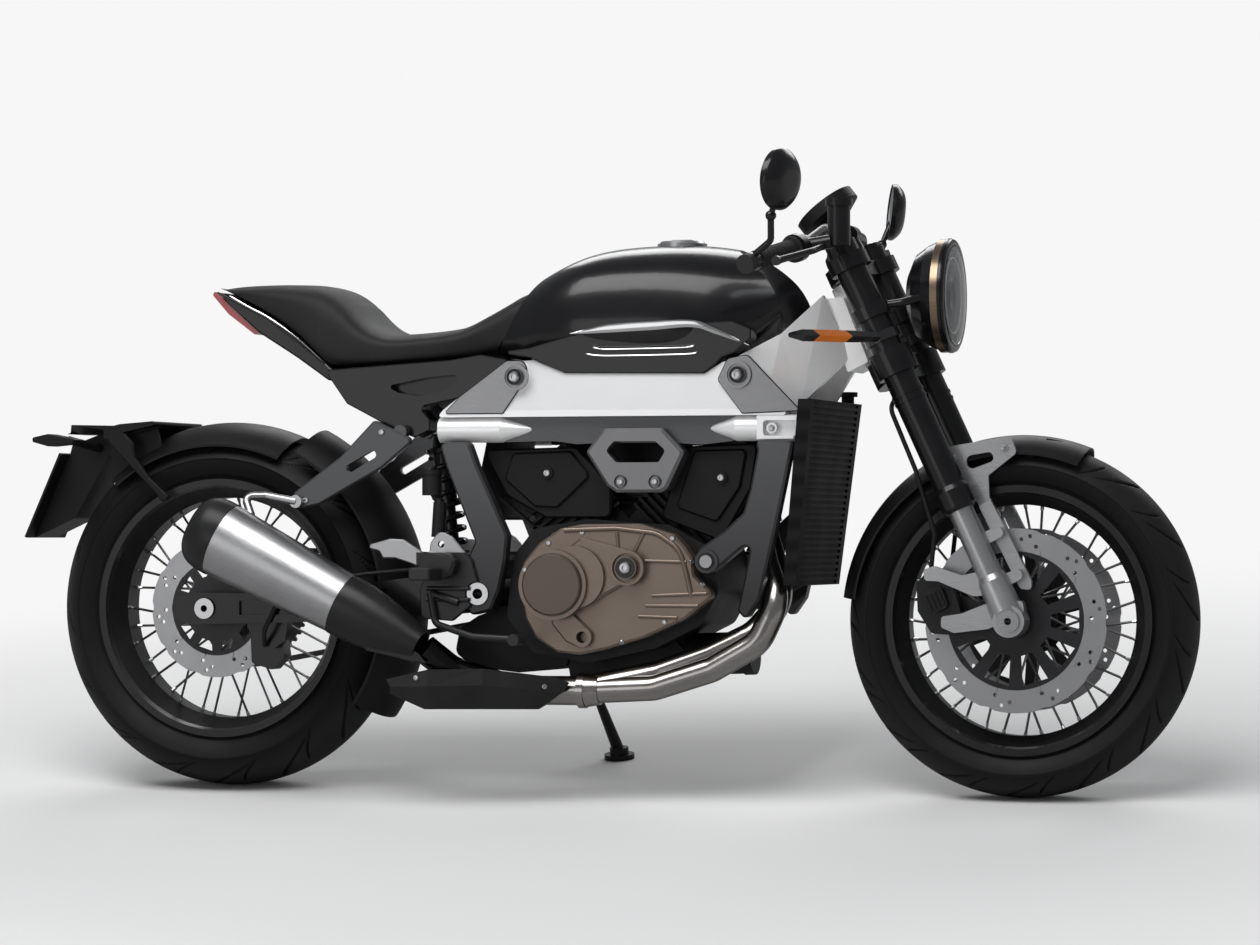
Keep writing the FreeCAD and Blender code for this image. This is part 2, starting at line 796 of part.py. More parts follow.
def axles():
    """Hollow rear axle with its spacers, and hollow swingarm shaft."""
    end = float(LEG_Y) - 3
    axle = (0, s.rear_tyre_radius)
    nose = float(s.disc_thickness) + 2 + float(s.seat_gap)
    arm = float(s.arm_inner_y) - float(s.seat_gap)
    seat = float(s.disc_thickness) / 2 + float(s.seat_gap)
    rear = across(axle, s.axle_radius, -end - 6, end + 6)
    caps = [across(axle, 18, y, y + 6) for y in (-end - 6, end)]
    spacers = [across(axle, 17, -arm, -(float(s.rear_disc_y) - seat + nose)),
               across(axle, 17, float(s.rear_hub_width) / 2 + nose, arm)]
    rear = fuse(rear, *spacers, *caps)
    rear = rear.cut(across(axle, s.axle_bore_radius, -end - 8, end + 8))
    reach = float(LEG_Y + s.leg_thickness) + 4
    pivot = (s.pivot_x, s.pivot_z)
    shaft = across(pivot, s.pivot_bore_radius + 4, -reach, reach)
    rims = [across(pivot, 19, y, y + 4) for y in (-reach, reach - 4)]
    shaft = fuse(shaft, *rims).cut(across(pivot, s.pivot_bore_radius, -reach - 2, reach + 2))
    feature("axle_and_pivot", Part.makeCompound([rear, shaft]))


SHOCK_LOW = back(-98, 40)
SHOCK_TOP = back(-128, 287)


def shock():
    """Spring round a damper with an eye at each end, the spring's turns drawn as ridges."""
    low = Vector(flat(SHOCK_LOW)[0], 0, flat(SHOCK_LOW)[1])
    top = Vector(flat(SHOCK_TOP)[0], 0, flat(SHOCK_TOP)[1])
    run = top - low
    length = run.Length
    profile = [(14, 12), (26, 13), (26, 29), (32, 29)]
    turns = 7
    step = (length - 32 - 42) / turns
    for turn in range(turns):
        start = 32 + turn * step
        profile += [(start + step * 0.2, 20), (start + step * 0.35, 28), (start + step * 0.65, 28),
                    (start + step * 0.8, 20)]
    profile += [(length - 42, 29), (length - 34, 29), (length - 30, 18), (length - 14, 16)]
    wire = Part.makePolygon([Vector(0, y, r) for y, r in [(14, 0)] + profile + [(length - 14, 0), (14, 0)]])
    solid = Part.Face(wire).revolve(Vector(0, 0, 0), Vector(0, 1, 0), 360)
    solid.Placement = Placement(low, Rotation(Vector(0, 1, 0), run))
    half = float(s.shock_eye_width) / 2
    eyes = [across(spot, 15, -half, half) for spot in (SHOCK_LOW, SHOCK_TOP)]
    feature("shock", fuse(solid, *eyes))


def rear_caliper():
    """Caliper over the rear disc's lower edge, on a bracket from the right arm."""
    y = float(s.rear_disc_y)
    z = float(s.rear_tyre_radius)
    arm = float(s.arm_inner_y) - float(s.seat_gap)
    block = plate([(70, z - 46), (128, z - 46), (134, z - 84), (112, z - 108), (72, z - 96)], -y - 17,
                  -y + 17, 8)
    slot = turned([(-y - 6, 40), (-y + 6, 40), (-y + 6, 127), (-y - 6, 127)], Vector(0, 0, z))
    bracket = plate([(56, z + 6), (150, z + 6), (140, z - 56), (120, z - 70), (84, z - 60)], -arm,
                    -y - 12, 6)
    feature("rear_caliper", fuse(block.cut(slot), bracket))


# Frame

def frame_beams():
    """Silver side beams with their lugs, sleeves and folded gussets, and the head tube."""
    y_out = float(s.beam_y)
    y_in = y_out - float(s.beam_thickness)
    beam = plate(side((436, 646), (447, 659), (475, 681), (574, 742), (607, 743), (664, 720), (911, 717),
                      (942, 736), (970, 746), (1016, 700), (1060, 646)), -y_out, -y_in, 4)
    slope = Part.Face(Part.makePolygon([Vector(300, -y_out - 1, side((0, 650))[0][1]),
                                        Vector(300, 14 - y_out, side((0, 752))[0][1]),
                                        Vector(300, -y_out - 30, side((0, 752))[0][1]),
                                        Vector(300, -y_out - 1, side((0, 650))[0][1])]))
    beam = beam.cut(slope.extrude(Vector(1400, 0, 0)))
    lugs = [plate(side((446, 651, 4), (476, 681), (562, 743, 12), (596, 743, 16), (602, 716, 14),
                       (556, 651, 4)), -y_out - 3, -y_out + 16, 4, 2),
            plate(side((936, 706, 10), (954, 742, 10), (990, 749, 14), (1084, 652, 3), (980, 648, 6)),
                  -y_out - 3, -y_out + 16, 4, 2)]
    bosses = []
    for spot in side((579, 714), (974, 714)):
        bosses.append(across(spot, s.boss_radius, -y_out - 8, -y_in))
    washers = [across(spot, float(s.boss_radius) * 0.62, -y_out - 12,
                      -y_out) for spot in side((579, 714), (974, 714))]
    groove = [across(spot, float(s.boss_radius) * 0.8, -y_out - 9, -y_out - 5)
              .cut(across(spot, float(s.boss_radius) * 0.62, -y_out - 9, -y_out - 5))
              for spot in side((579, 714), (974, 714))]
    y_mid = -y_out + float(s.sleeve_radius)
    sleeves = []
    for x_round, x_cone, x_tip in ((436, 548, 612), (1010, 966, 912)):
        start, cone, tip = [Vector(*drawn(x, 0, 624.5)) + Vector(0, y_mid, 0) for x in (x_round, x_cone,
                                                                                        x_tip)]
        sleeves.append(rod(start, cone, float(s.sleeve_radius)))
        sleeves.append(rod(cone, tip, float(s.sleeve_radius), 3))
    socket = plate(side((1004, 603.5), (1004, 646), (1077, 646), (1070, 604)), -y_out, -y_in, 3, 2)
    hollow = plate(side((1016, 611, 6), (1016, 637, 6), (1090, 637), (1090, 611)), -y_out - 1, -y_out + 18)
    bolt = across(side((1030, 624))[0], 9, -y_out + 4, -y_in)
    corners = {
        "A": drawn(964, -148, 743), "G": drawn(1035, -108, 785), "B": drawn(1096, -62, 851),
        "C": drawn(1141, -46, 748), "F": drawn(1071, -112, 664), "E": drawn(1016, -150, 650)}
    gusset = facets(corners, ("AGE", "GFE", "GBF", "BCF"), 14)
    side_frame = fuse(beam, *lugs, *bosses, *sleeves, socket.cut(hollow), bolt, gusset)
    for ring_cut in groove:
        side_frame = side_frame.cut(ring_cut)
    side_frame = fuse(side_frame, *washers)
    low = s.lower_clamp_reach + s.lower_clamp_height / 2 + 2
    tube_low = steer_point(low, 0, 0)
    tube_top = steer_point(low + HEAD_LENGTH, 0, 0)
    head = rod(tube_low, tube_top, float(s.head_tube_radius))
    bore = rod(tube_low * 2 - tube_top, tube_top * 2 - tube_low, float(s.stem_radius + s.bore_gap))
    neck = plate(side((1096, 846), (1136, 720), (1172, 738), (1128, 848)), -50 * WIDEN, 50 * WIDEN, 3)
    cross_tube = across(side((468, 628))[0], 14.7, -y_in - 4, y_in + 4)
    eye = float(s.shock_eye_width) / 2 + float(s.seat_gap)
    clevis = plate(side((370, 621, 8), (370, 642.7, 8), (462, 641), (470, 618)), -eye - 8, eye + 8, 4)
    x, z = flat(SHOCK_TOP)
    clevis = clevis.cut(plate([(x - 40, z - 40), (x - 40, z + 60), (x + 18, z + 60), (x + 18, z - 40)],
                              -eye, eye))
    frame = fuse(head, neck, cross_tube, clevis, *both_sides(side_frame))
    feature("frame_beams", frame.cut(bore))


def frame_bands():
    """Grey side bands under the beams, each with its six-sided window frame."""
    y_out = float(LEG_Y) - 0.3
    y_in = y_out - 20
    band = plate(side((553, 603), (553, 645.5), (961, 645.5), (961, 603), (905, 597), (840, 601), (737, 601),
                      (682, 599), (640, 605)), -y_out, -y_in, 2)
    for x_round, x_cone, x_tip in ((436, 548, 612), (1010, 966, 912)):
        y_mid = -float(s.beam_y) + float(s.sleeve_radius)
        start, cone, tip = [Vector(*drawn(x, 0, 624.5)) + Vector(0, y_mid, 0) for x in (x_round, x_cone,
                                                                                        x_tip)]
        away = (tip - cone).normalize()
        sleeve_cut = rod(start, cone + away, float(s.sleeve_radius) + 0.3)
        band = band.cut(sleeve_cut).cut(rod(cone, tip + away * 2, float(s.sleeve_radius) + 0.3, 3.3))
    six = plate(side((737, 625), (840, 625), (879, 584), (849, 523), (838, 516), (759, 516), (743, 527),
                     (705, 585)), -y_out - 22, -y_in, 8, 5)
    six = six.cut(plate(side((755, 603), (829, 603), (847, 587), (835, 567), (759, 567), (741, 587)),
                        -y_out - 26, -y_in + 2, 7))
    for spot in side((768, 534), (829, 534)):
        six = six.cut(across(spot, 12, -y_out - 26, -y_out - 16)).fuse(across(spot, 8, -y_out - 24,
                                                                              -y_out - 10))
    feature("frame_bands", pair(fuse(band, six)))


def legs():
    """Rear legs down to the swingarm's pivot and front legs down to the engine."""
    y_in = float(LEG_Y)
    y_out = y_in + float(s.leg_thickness)
    rear = side((442, 603.2), (496, 603.2), (512, 560), (531, 520), (566, 444), (562, 400), (552, 352),
                (536, 314), (502, 306), (478, 337), (484, 383), (508, 432), (472, 520), (456, 560))
    rear_leg = plate(rear, -y_out, -y_in, 10, 4)
    bore = across(back(0, 0), s.pivot_bore_radius + 4 + s.bore_gap, -y_out - 1, -y_in + 1)
    feature("rear_legs", pair(rear_leg.cut(bore)))
    fore = side((1006, 603.2), (1072, 603.2), (1061, 553), (1040, 455), (1012, 334), (988, 300),
                (974, 316), (988, 380), (999, 436), (936, 385), (912, 378), (900, 396), (906, 420),
                (950, 450), (984, 481), (996, 520), (1009, 585))
    fore_leg = plate(fore, -y_out, -y_in, 8, 4)
    eye = across(side((921, 399))[0], 20, -y_out - 4, -y_in)
    bolt = across(side((921, 399))[0], 11, -y_out - 8, -y_in)
    faces = ((-float(s.case_right_y) - float(s.seat_gap), -1), (float(s.case_left_y) + float(s.seat_gap), 1))
    sides = []
    for face, sign in faces:
        leg_side = fuse(fore_leg, eye, bolt)
        if sign > 0:
            leg_side = leg_side.mirror(Vector(0, 0, 0), Vector(0, 1, 0))
        near, far = sorted((face, sign * (y_in + 2)))
        sides.append(leg_side.fuse(across(side((921, 399))[0], 16, near, far)))
    feature("front_legs", Part.makeCompound(sides))


def hanger_plates():
    """Grey plates from under the side panels to the muffler, with a slot each."""
    y_out = 146 * WIDEN
    hanger = plate(side((316, 643), (389, 608), (330, 560), (215, 497), (176, 489), (164, 515), (254, 580)),
                   -y_out, -y_out + 12, 8, 3)
    slot = plate(side((262, 562, 8), (316, 592, 8), (322, 580, 8), (270, 550, 8)), -y_out - 4,
                 -y_out + 16, 5)
    seat_face = PANEL_Y + float(s.seat_gap)
    pads = [across(spot, 12, -y_out + 4, -seat_face) for spot in side((318, 628), (362, 622))]
    feature("hanger_plates", pair(fuse(hanger.cut(slot), *pads)))


def case_outline():
    return side((554, 303), (560, 363), (570, 413), (604, 455), (700, 471), (844, 461), (919, 421),
                (932, 348), (900, 291), (820, 251), (700, 225), (600, 243))


def v_block(width, low, high, half_y, lean):
    """A block square to one cylinder's line, from a height to another up that line."""
    x, z = side((750, 371))[0]
    block = Part.makeBox(width, 2 * half_y, high - low, Vector(-width / 2, -half_y, low))
    block.Placement = Placement(Vector(x, 0, z), Rotation(Vector(0, 1, 0), lean))
    return block


def cylinder_leans():
    return -float(s.v_angle) / 2 + 2, float(s.v_angle) / 2 + 6


# Engine

def crankcase():
    right = -float(s.case_right_y)
    left = float(s.case_left_y)
    case = plate(case_outline(), right, left, 22)
    for lean in cylinder_leans():
        case = case.cut(v_block(149, float(s.deck_height), 230, float(s.cylinder_width) / 2 - 11, lean))
    decks = [v_block(132, 20, float(s.deck_height), float(s.cylinder_width) / 2 - 28, lean)
             for lean in cylinder_leans()]
    sump = plate(side((634, 243), (840, 263), (866, 233), (846, 197), (664, 191)), -78 * WIDEN,
                 60 * WIDEN, 14)
    ribs = [plate(side((650, 184), (856, 194), (870, 232), (640, 240)), y, y + 5, 8)
            for y in (-66 * WIDEN, -34 * WIDEN, -2 * WIDEN, 30 * WIDEN)]
    x, z = side((894, 239))[0]
    gearbox = plate(side((562, 330), (486, 304), (452, 282), (444, 240), (476, 216), (560, 206), (650, 214),
                         (640, 330)), -84 * WIDEN, 56 * WIDEN, 16)
    filter_can = rod((x - 40, -44, z), (x + 78, -44, z + 4), 36)
    grip = rod((x + 60, -44, z + 3.2), (x + 78, -44, z + 4), 38)
    feature("crankcase", fuse(case, gearbox, sump, filter_can, grip, *decks, *ribs))


def air_box():
    """The box between the beams over the cylinders, its trunk behind them and the intake in the V."""
    half = float(s.beam_y) - float(s.beam_thickness) - float(s.seat_gap)
    low = plate(side((498, 609), (510, 632), (538, 636), (538, 660), (930, 660), (952, 640), (952, 609)),
                16 - half, half - 16, 5)
    box = plate(side((540, 652), (590, 700), (640, 706), (900, 704), (944, 690), (960, 652)), -half,
                half, 10)
    trunk = plate(side((492, 470), (530, 470), (528, 530), (540, 616), (500, 616), (488, 560)),
                  -74 * WIDEN, 74 * WIDEN, 8)
    intake = plate(side((712, 612), (836, 612), (818, 545), (776, 512), (744, 512), (706, 556)),
                   -56 * WIDEN, 56 * WIDEN, 12)
    feature("air_box", fuse(box, low, trunk, intake))


def cylinders():
    """The two cylinders of the V, each a finned barrel with its head and cam cover."""
    half = float(s.cylinder_width) / 2
    deck = float(s.deck_height) + float(s.seat_gap)
    both = []
    for lean in cylinder_leans():
        pieces = [v_block(128, deck, 190, half - 25, lean), v_block(136, 184, 226, half - 14, lean)]
        for step in range(6):
            pieces.append(v_block(148, 103 + step * 13, 108 + step * 13, half - 12, lean))
        pieces.append(v_block(112, 224, 250, half - 20, lean))
        both.append(fuse(*pieces))
    feature("cylinders", fuse(*both))


def cylinder_covers():
    """Dark stepped plates over the cylinders' outer sides, with their fixing bosses."""
    y = float(s.cylinder_width) / 2 - 12 + float(s.seat_gap)
    rear = plate(side((504, 591), (673, 595), (735, 530), (735, 473), (619, 473), (548, 511)), -y - 14,
                 -y, 12, 3)
    rear_step = plate(side((560, 585), (664, 588), (700, 545), (640, 490), (600, 492), (545, 540)),
                      -y - 20, -y, 10, 3)
    fore = plate(side((865, 595), (996, 599), (984, 523), (931, 433), (824, 473)), -y - 14, -y, 12, 3)
    fore_step = plate(side((885, 588), (978, 590), (966, 525), (925, 465), (852, 490)), -y - 20, -y, 10, 3)
    rear_boss = across(side((624, 550))[0], 10, -y - 25, -y)
    fore_boss = across(side((934, 541))[0], 10, -y - 25, -y)
    fins = [plate(side((535 + 12 * n, 505 - 10 * n), (560 + 12 * n, 484 - 10 * n),
                       (563 + 12 * n, 488 - 10 * n), (538 + 12 * n, 509 - 10 * n)), -y - 20, -y,
                  0) for n in range(4)]
    feature("cylinder_covers", Part.makeCompound(both_sides(fuse(rear, rear_step, rear_boss, *fins))
                                                 + both_sides(fuse(fore, fore_step, fore_boss))))


def clutch_cover():
    """Bronze right cover: a stepped case with a large round cap, bosses, a rim and ribs."""
    inner = -float(s.case_right_y) - float(s.seat_gap)
    depth = float(s.cover_depth)
    face = inner - depth * 0.5
    cover = plate(side((586, 359), (594, 398), (622, 430), (660, 455), (700, 462), (800, 463),
                       (862, 444), (880, 425), (895, 404), (897, 376, 12), (925, 350), (927, 338),
                       (880, 301), (810, 270), (739, 249), (695, 240), (654, 244), (616, 268),
                       (598, 300)), face, inner, 14, 4)
    centre = side((654, 359))[0]
    cap_radius = float(s.cover_disc_radius)
    cap = across(centre, cap_radius - 3, inner - depth, inner)
    cap = cap.makeChamfer(2.5,
                          [edge for edge in cap.Edges if abs(edge.BoundBox.YMax - inner + depth) < 0.01])
    flange = across(centre, cap_radius + 5, inner - depth + 7, inner)
    crescent = across(side((690, 372))[0], cap_radius - 2, inner - depth * 0.78, inner)
    neck = plate(side((668, 416), (700, 440), (784, 418), (800, 372), (720, 330)), inner - depth * 0.66,
                 inner, 12, 4)
    boss = across(side((784, 388))[0], 30, inner - depth * 0.8, inner)
    boss_cap = across(side((784, 388))[0], 19, inner - depth * 0.9, inner)
    boss_ring = across(side((784, 388))[0], 25, inner - depth * 0.82, inner - depth * 0.7)
    boss = boss.cut(boss_ring.cut(boss_cap))
    low_boss = across(side((702, 270))[0], 17, inner - depth * 0.66, inner)
    low_hole = across(side((702, 270))[0], 10, inner - depth * 0.7, inner - depth * 0.4)
    low_arm = plate(side((640, 300), (680, 316), (722, 276), (700, 250), (672, 262)),
                    inner - depth * 0.6, inner, 10, 3)
    rim = tube([drawn(668, 0, 452), drawn(760, 0, 455), drawn(832, 0, 447), drawn(872, 0, 420),
                drawn(884, 0, 380), drawn(893, 0, 340)], 4.5, 50)
    rim.translate(Vector(0, face, 0))
    ribs = []
    for start, end in (((812, 400), (884, 398)), ((824, 341), (920, 345)), ((812, 324), (905, 324)),
                       ((800, 306), (868, 304)), ((762, 448), (764, 418)), ((810, 449), (794, 418))):
        ribs.append(rod(drawn(start[0], 0, start[1]), drawn(end[0], 0, end[1]), 3.4))
    for rib in ribs:
        rib.translate(Vector(0, face, 0))
    post = rod(drawn(650, 0, 415), drawn(652, 0, 447), 11)
    post.translate(Vector(0, inner - 18, 0))
    feature("clutch_cover", fuse(cover, flange, cap, crescent, neck, boss, boss_cap, low_arm, low_boss,
                                 rim, post, *ribs).cut(low_hole))


def generator_cover():
    """Left covers: a round one over the generator and a plate over the front sprocket."""
    inner = float(s.case_left_y) + float(s.seat_gap)
    centre = side((750, 373))[0]
    round_part = across(centre, 86, inner, inner + 46)
    rim = across(centre, 90, inner, inner + 12)
    cap = across(centre, 60, inner + 46, inner + 58)
    spokes = [rod(Vector(centre[0] + 30 * math.cos(a), inner + 48, centre[1] + 30 * math.sin(a)),
                  Vector(centre[0] + 82 * math.cos(a), inner + 44, centre[1] + 82 * math.sin(a)), 4)
              for a in [math.pi * n / 3 for n in range(6)]]
    outer = 118 * WIDEN
    plate_part = plate(side((534, 403), (694, 453), (694, 293), (574, 285), (548, 313)), outer + 16,
                       outer, 14, 4)
    bridge = plate(side((664, 424), (714, 424), (714, 299), (664, 299)), outer + 16, inner, 6)
    feature("generator_cover", fuse(round_part, rim, cap, plate_part, bridge, *spokes))


def headers():
    """Two header pipes that join under the engine and run back to the muffler."""
    radius = float(s.header_radius)
    outer = tube([drawn(982, -70, 468), drawn(1000, -86, 400), drawn(1036, -133, 333),
                  drawn(1004, -140, 262), drawn(922, -140, 216), drawn(820, -140, 184),
                  drawn(700, -140, 178)], radius, 60)
    inner = tube([drawn(978, -18, 468), drawn(1000, -28, 400), drawn(1026, -70, 330), drawn(984, -98, 276),
                  drawn(910, -108, 240), drawn(822, -118, 208), drawn(700, -138, 182)], radius, 60)
    tail = tube([drawn(700, -140, 178), drawn(570, -144, 178), drawn(470, -180, 212), muffler_point(168)],
                radius + 3, 60)
    clamp = rod(drawn(688, -140, 178), drawn(700, -140, 178), radius + 8)
    cup = rod(drawn(700, -140, 178), drawn(724, -140, 179), radius + 6, radius + 3)
    ports = [rod(drawn(978, y, 480), drawn(983, y * 1.06, 462), radius + 8) for y in (-70, -18)]
    feature("headers", fuse(outer, inner, tail, clamp, cup, *ports))


def exhaust_shield():
    """Dark folded cover outside the pipe under the engine, and the grey plate over its rear joint."""
    corners = {"a": drawn(679, -176, 192), "b": drawn(661, -182, 201), "c": drawn(536, -210, 216),
               "d": drawn(440, -222, 214), "e": drawn(365, -220, 197), "f": drawn(668, -182, 176),
               "g": drawn(536, -212, 188), "h": drawn(440, -222, 186), "i": drawn(372, -220, 184),
               "j": drawn(640, -176, 156), "k": drawn(626, -180, 147), "l": drawn(431, -210, 146),
               "m": drawn(369, -212, 172)}
    shield = facets(corners, ("abf", "bcg", "bgf", "cdh", "chg", "dei", "dih", "fgk", "fkj", "ghl",
                              "glk", "hil", "iml"), 6)
    pipe_side = 142 * WIDEN + float(s.header_radius) + 3
    boss = across(side((640, 180))[0], 9, -185 * WIDEN, -pipe_side - float(s.seat_gap))
    feature("exhaust_shield", fuse(shield, boss))


MUFFLER_Y = -float(s.muffler_y)


def muffler_point(ahead):
    """A place on the muffler's own line, its distance ahead of the can's front end."""
    run = muffler_run()
    return tuple(Vector(*drawn(279, MUFFLER_Y, 325)) + run * ahead)


def muffler_run():
    return (Vector(*drawn(279, MUFFLER_Y, 325)) - Vector(*drawn(59, MUFFLER_Y, 435))).normalize()


def oval(centre, direction, half_height, half_width):
    """An ellipse across a direction that lies in the side view."""
    up = Vector(0, 1, 0).cross(direction).normalize()
    if up.z < 0:
        up = up * -1
    curve = Part.Ellipse(centre + up * half_height, centre + Vector(0, half_width, 0), centre)
    return Part.Wire(curve.toShape())


def muffler():
    """Silver oval canister with its strap, dark end pieces and outlet, rising to the rear."""
    fore = Vector(*drawn(279, MUFFLER_Y, 325))
    rear = Vector(*drawn(59, MUFFLER_Y, 435))
    run = muffler_run()
    can = Part.makeLoft([oval(rear, run, 66, 56), oval(fore, run, 54, 48)], True, True)
    strap = tube([drawn(176, -156, 502), drawn(122, -160, 512), drawn(88, -176, 512),
                  drawn(106, -190, 478)], 7, 12)
    foot = rod(drawn(176, -160, 502), drawn(176, -146.3, 502), 11)
    feature("muffler", fuse(can, strap, foot))
    ends = [oval(rear - run * reach, run, tall, wide) for reach, tall, wide in
            ((0.3, 67, 57), (26, 66, 56), (44, 60, 50), (56, 48, 40))]
    cap = Part.makeLoft(ends, True, False)
    outlet = rod(rear - run * 60, rear - run * 14, 25)
    lip = rod(rear - run * 60, rear - run * 50, 29).cut(rod(rear - run * 61, rear - run * 14, 25))
    cones = [oval(fore + run * reach, run, tall, wide) for reach, tall, wide in
             ((0.3, 55, 49), (40, 54, 48), (100, 44, 40), (160, 31, 30))]
    cone = Part.makeLoft(cones, True, False)
    hollow = rod(muffler_point(120), muffler_point(200), float(s.header_radius) + 3 + float(s.seat_gap))
    keel = facets({"a": muffler_point(20), "b": muffler_point(150), "c": tuple(Vector(*muffler_point(60))
                  + Vector(0, 0, -52)), "d": tuple(Vector(*muffler_point(170)) + Vector(10, 0, -24))},
                  ("acd", "adb"), 12)
    keel.translate(Vector(0, -24, 0))
    feature("muffler_ends", Part.makeCompound([fuse(cap, lip).cut(outlet), fuse(cone, keel).cut(hollow)]))


RADIATOR_FACE = side((1105, 672), (1071, 358))


def radiator_block(extra=0.0):
    """The space the radiator takes: wide above, narrow below, leaning forwards; it may be grown."""
    (x_top, z_top), (x_low, z_low) = RADIATOR_FACE
    deep = float(s.radiator_thickness) + extra
    wires = []
    wide = float(s.radiator_width)
    for x, z, half in ((x_low, z_low, wide * 0.42), (x_top, z_top, wide / 2)):
        half += extra
        wires.append(Part.makePolygon([Vector(x, -half, z), Vector(x, half, z), Vector(x - deep, half, z),
                                       Vector(x - deep, -half, z), Vector(x, -half, z)]))
    return Part.makeLoft(wires, True, True)


def radiator():
    """Finned core between side tanks, with its mounts on the frame's sockets and its cap."""
    body = radiator_block()
    (x_top, z_top), (x_low, z_low) = RADIATOR_FACE
    width = float(s.radiator_width)
    deep = float(s.radiator_thickness)
    count = 30
    grooves = []
    for index in range(count):
        share = (index + 0.5) / count
        x, z = x_low + (x_top - x_low) * share, z_low + (z_top - z_low) * share
        half = width * (0.42 + 0.08 * share) - 24
        grooves.append(Part.makeBox(7, 2 * half, (z_top - z_low) / count / 2, Vector(x - 3, -half, z - 2.6)))
    body = body.cut(Part.makeCompound(grooves))
    mounts = []
    for sign in (-1, 1):
        low, high = sorted((sign * (float(s.beam_y) - 8), sign * (float(s.beam_y) - 28)))
        mounts.append(plate(side((1078.3, 612), (1078.3, 640), (1090, 640), (1090, 612)), low, high))
    x, z = side((1092, 0))[0][0], z_top
    cap = fuse(rod((x, 130, z - 4), (x, 130, z + 16), 11), rod((x, 130, z + 12), (x, 130, z + 20), 17))
    feature("radiator", fuse(body, cap, *mounts))


def coolant_hoses():
    """Black hoses from the radiator's back to the cylinders' heads and to the pump."""
    taken = radiator_block(float(s.seat_gap))
    top = tube([drawn(1092, -96, 616), drawn(1046, -96, 628), drawn(1008, -88, 628), drawn(984, -78, 616),
                drawn(975, -70, 600)], 14, 26)
    clip = rod(drawn(1056, -96, 625.4), drawn(1066, -96, 622.8), 16.5)
    low = tube([drawn(1060, 96, 376), drawn(1020, 92, 370), drawn(962, 70, 332), drawn(934, 62, 325)],
               13, 30)
    feature("coolant_hoses", Part.makeCompound([fuse(top, clip).cut(taken), low.cut(taken)]))


# Bodywork

def fuel_tank():
    """A lofted tank with shoulders, cut away in front for the fork legs' swing."""
    half = float(s.tank_width) / 2
    top = float(s.tank_top_z)
    stations = [(500, 0.46, 757, 818), (545, 0.62, 753, 862), (610, 0.84, 750.5, 900),
                (674, 0.96, 748, 928), (764, 1.0, 744, top - 1), (859, 1.0, 744, top),
                (920, 0.93, 746, top - 6), (962, 0.84, 755, top - 14), (1009, 0.72, 790, top - 26),
                (1069, 0.58, 842, top - 44), (1102, 0.44, 868, top - 58)]
    wires = []
    for x, share, low, high in stations:
        at, under = side((x, low))[0]
        wires.append(tank_section(at, half * share, under, side((x, high))[0][1] if high != top else top))
    tank = Part.makeLoft(wires, True, False)
    clearance = rod(steer_point(s.lower_clamp_reach, 0, 0), steer_point(s.fork_length + 200, 0, 0), SWING)
    wing = plate(side((545, 757), (604, 747), (664, 720.5), (911, 717.5), (932, 732), (942, 744), (964, 752),
                      (994, 776), (994, 792), (960, 806), (895, 803), (760, 799), (690, 788), (600, 764)),
                 -half + 4, -half + 40, 3, 2)
    blade = facets({"a": drawn(676, -158, 787), "b": drawn(752, -163, 799), "c": drawn(893, -163, 806),
                    "d": drawn(990, -152, 764), "e": drawn(893, -162, 797), "f": drawn(752, -162, 791)},
                   ("abf", "bcf", "cef", "cde"), 30)
    bars = [tube([drawn(x0, -152, z0), drawn(x0 + 16, -156, z1), drawn(x2, -156, z1 + 1),
                  drawn(x3, -152, z3)], 2.4, 8) for x0, z0, z1, x2, x3,
            z3 in ((712, 768, 763, 880, 896, 767),)]
    for part in (wing, blade, *bars):
        for side_part in both_sides(part):
            tank = tank.fuse(side_part)
    tank = tank.cut(clearance).cut(rear_slope(0, 220))
    x, z = side((830, 0))[0][0], top
    tank = tank.cut(rod((x, 0, z - 5), (x, 0, z + 20), float(s.cap_radius) + float(s.seat_gap)))
    feature("fuel_tank", tank)


def fuel_cap():
    """A round filler cap with a raised rim and a hinged key flap."""
    x, z = side((830, 0))[0][0], float(s.tank_top_z)
    radius = float(s.cap_radius)
    low = z - 5 + float(s.seat_gap)
    base = rod((x, 0, low), (x, 0, z + 4), radius)
    upper = rod((x, 0, z + 4), (x, 0, z + 8), radius - 3, radius - 6)
    flap = Part.makeBox(34, 20, 5, Vector(x - 17, -10, z + 6))
    feature("fuel_cap", fuse(base, upper, flap))


def seat():
    """A stepped single seat, cut from its side outline and its plan outline."""
    top = side((-6, 884), (48, 888), (124, 889), (180, 886), (214, 879), (248, 854), (274, 827), (293, 812),
               (334, 798), (386, 800), (433, 805), (460, 812), (497, 831), (530, 850), (548, 862))
    low = side((600, 876), (574, 850), (511.5, 758), (443, 750), (351, 744), (249, 738), (218, 737),
               (194, 758), (147, 799), (94, 833), (36, 862))
    whole = plate(top + low, -140, 140, 8)
    half = float(s.seat_width) / 2
    plan = [(-10, 0.5), (90, 0.76), (200, 0.97), (300, 1.0), (420, 0.9), (500, 0.68), (560, 0.6),
            (600, 0.56)]
    spots = [(side((x, 0))[0][0], half * share) for x, share in plan]
    corners = [(x, -y) for x, y in spots] + spots[::-1]
    face = Part.Face(Part.makePolygon([Vector(x, y, 500) for x, y in corners + corners[:1]]))
    cushion = whole.common(face.extrude(Vector(0, 0, 600)))
    keep = rear_slope(float(s.seat_gap) * 1.2, 220)
    feature("seat", cushion.common(keep))


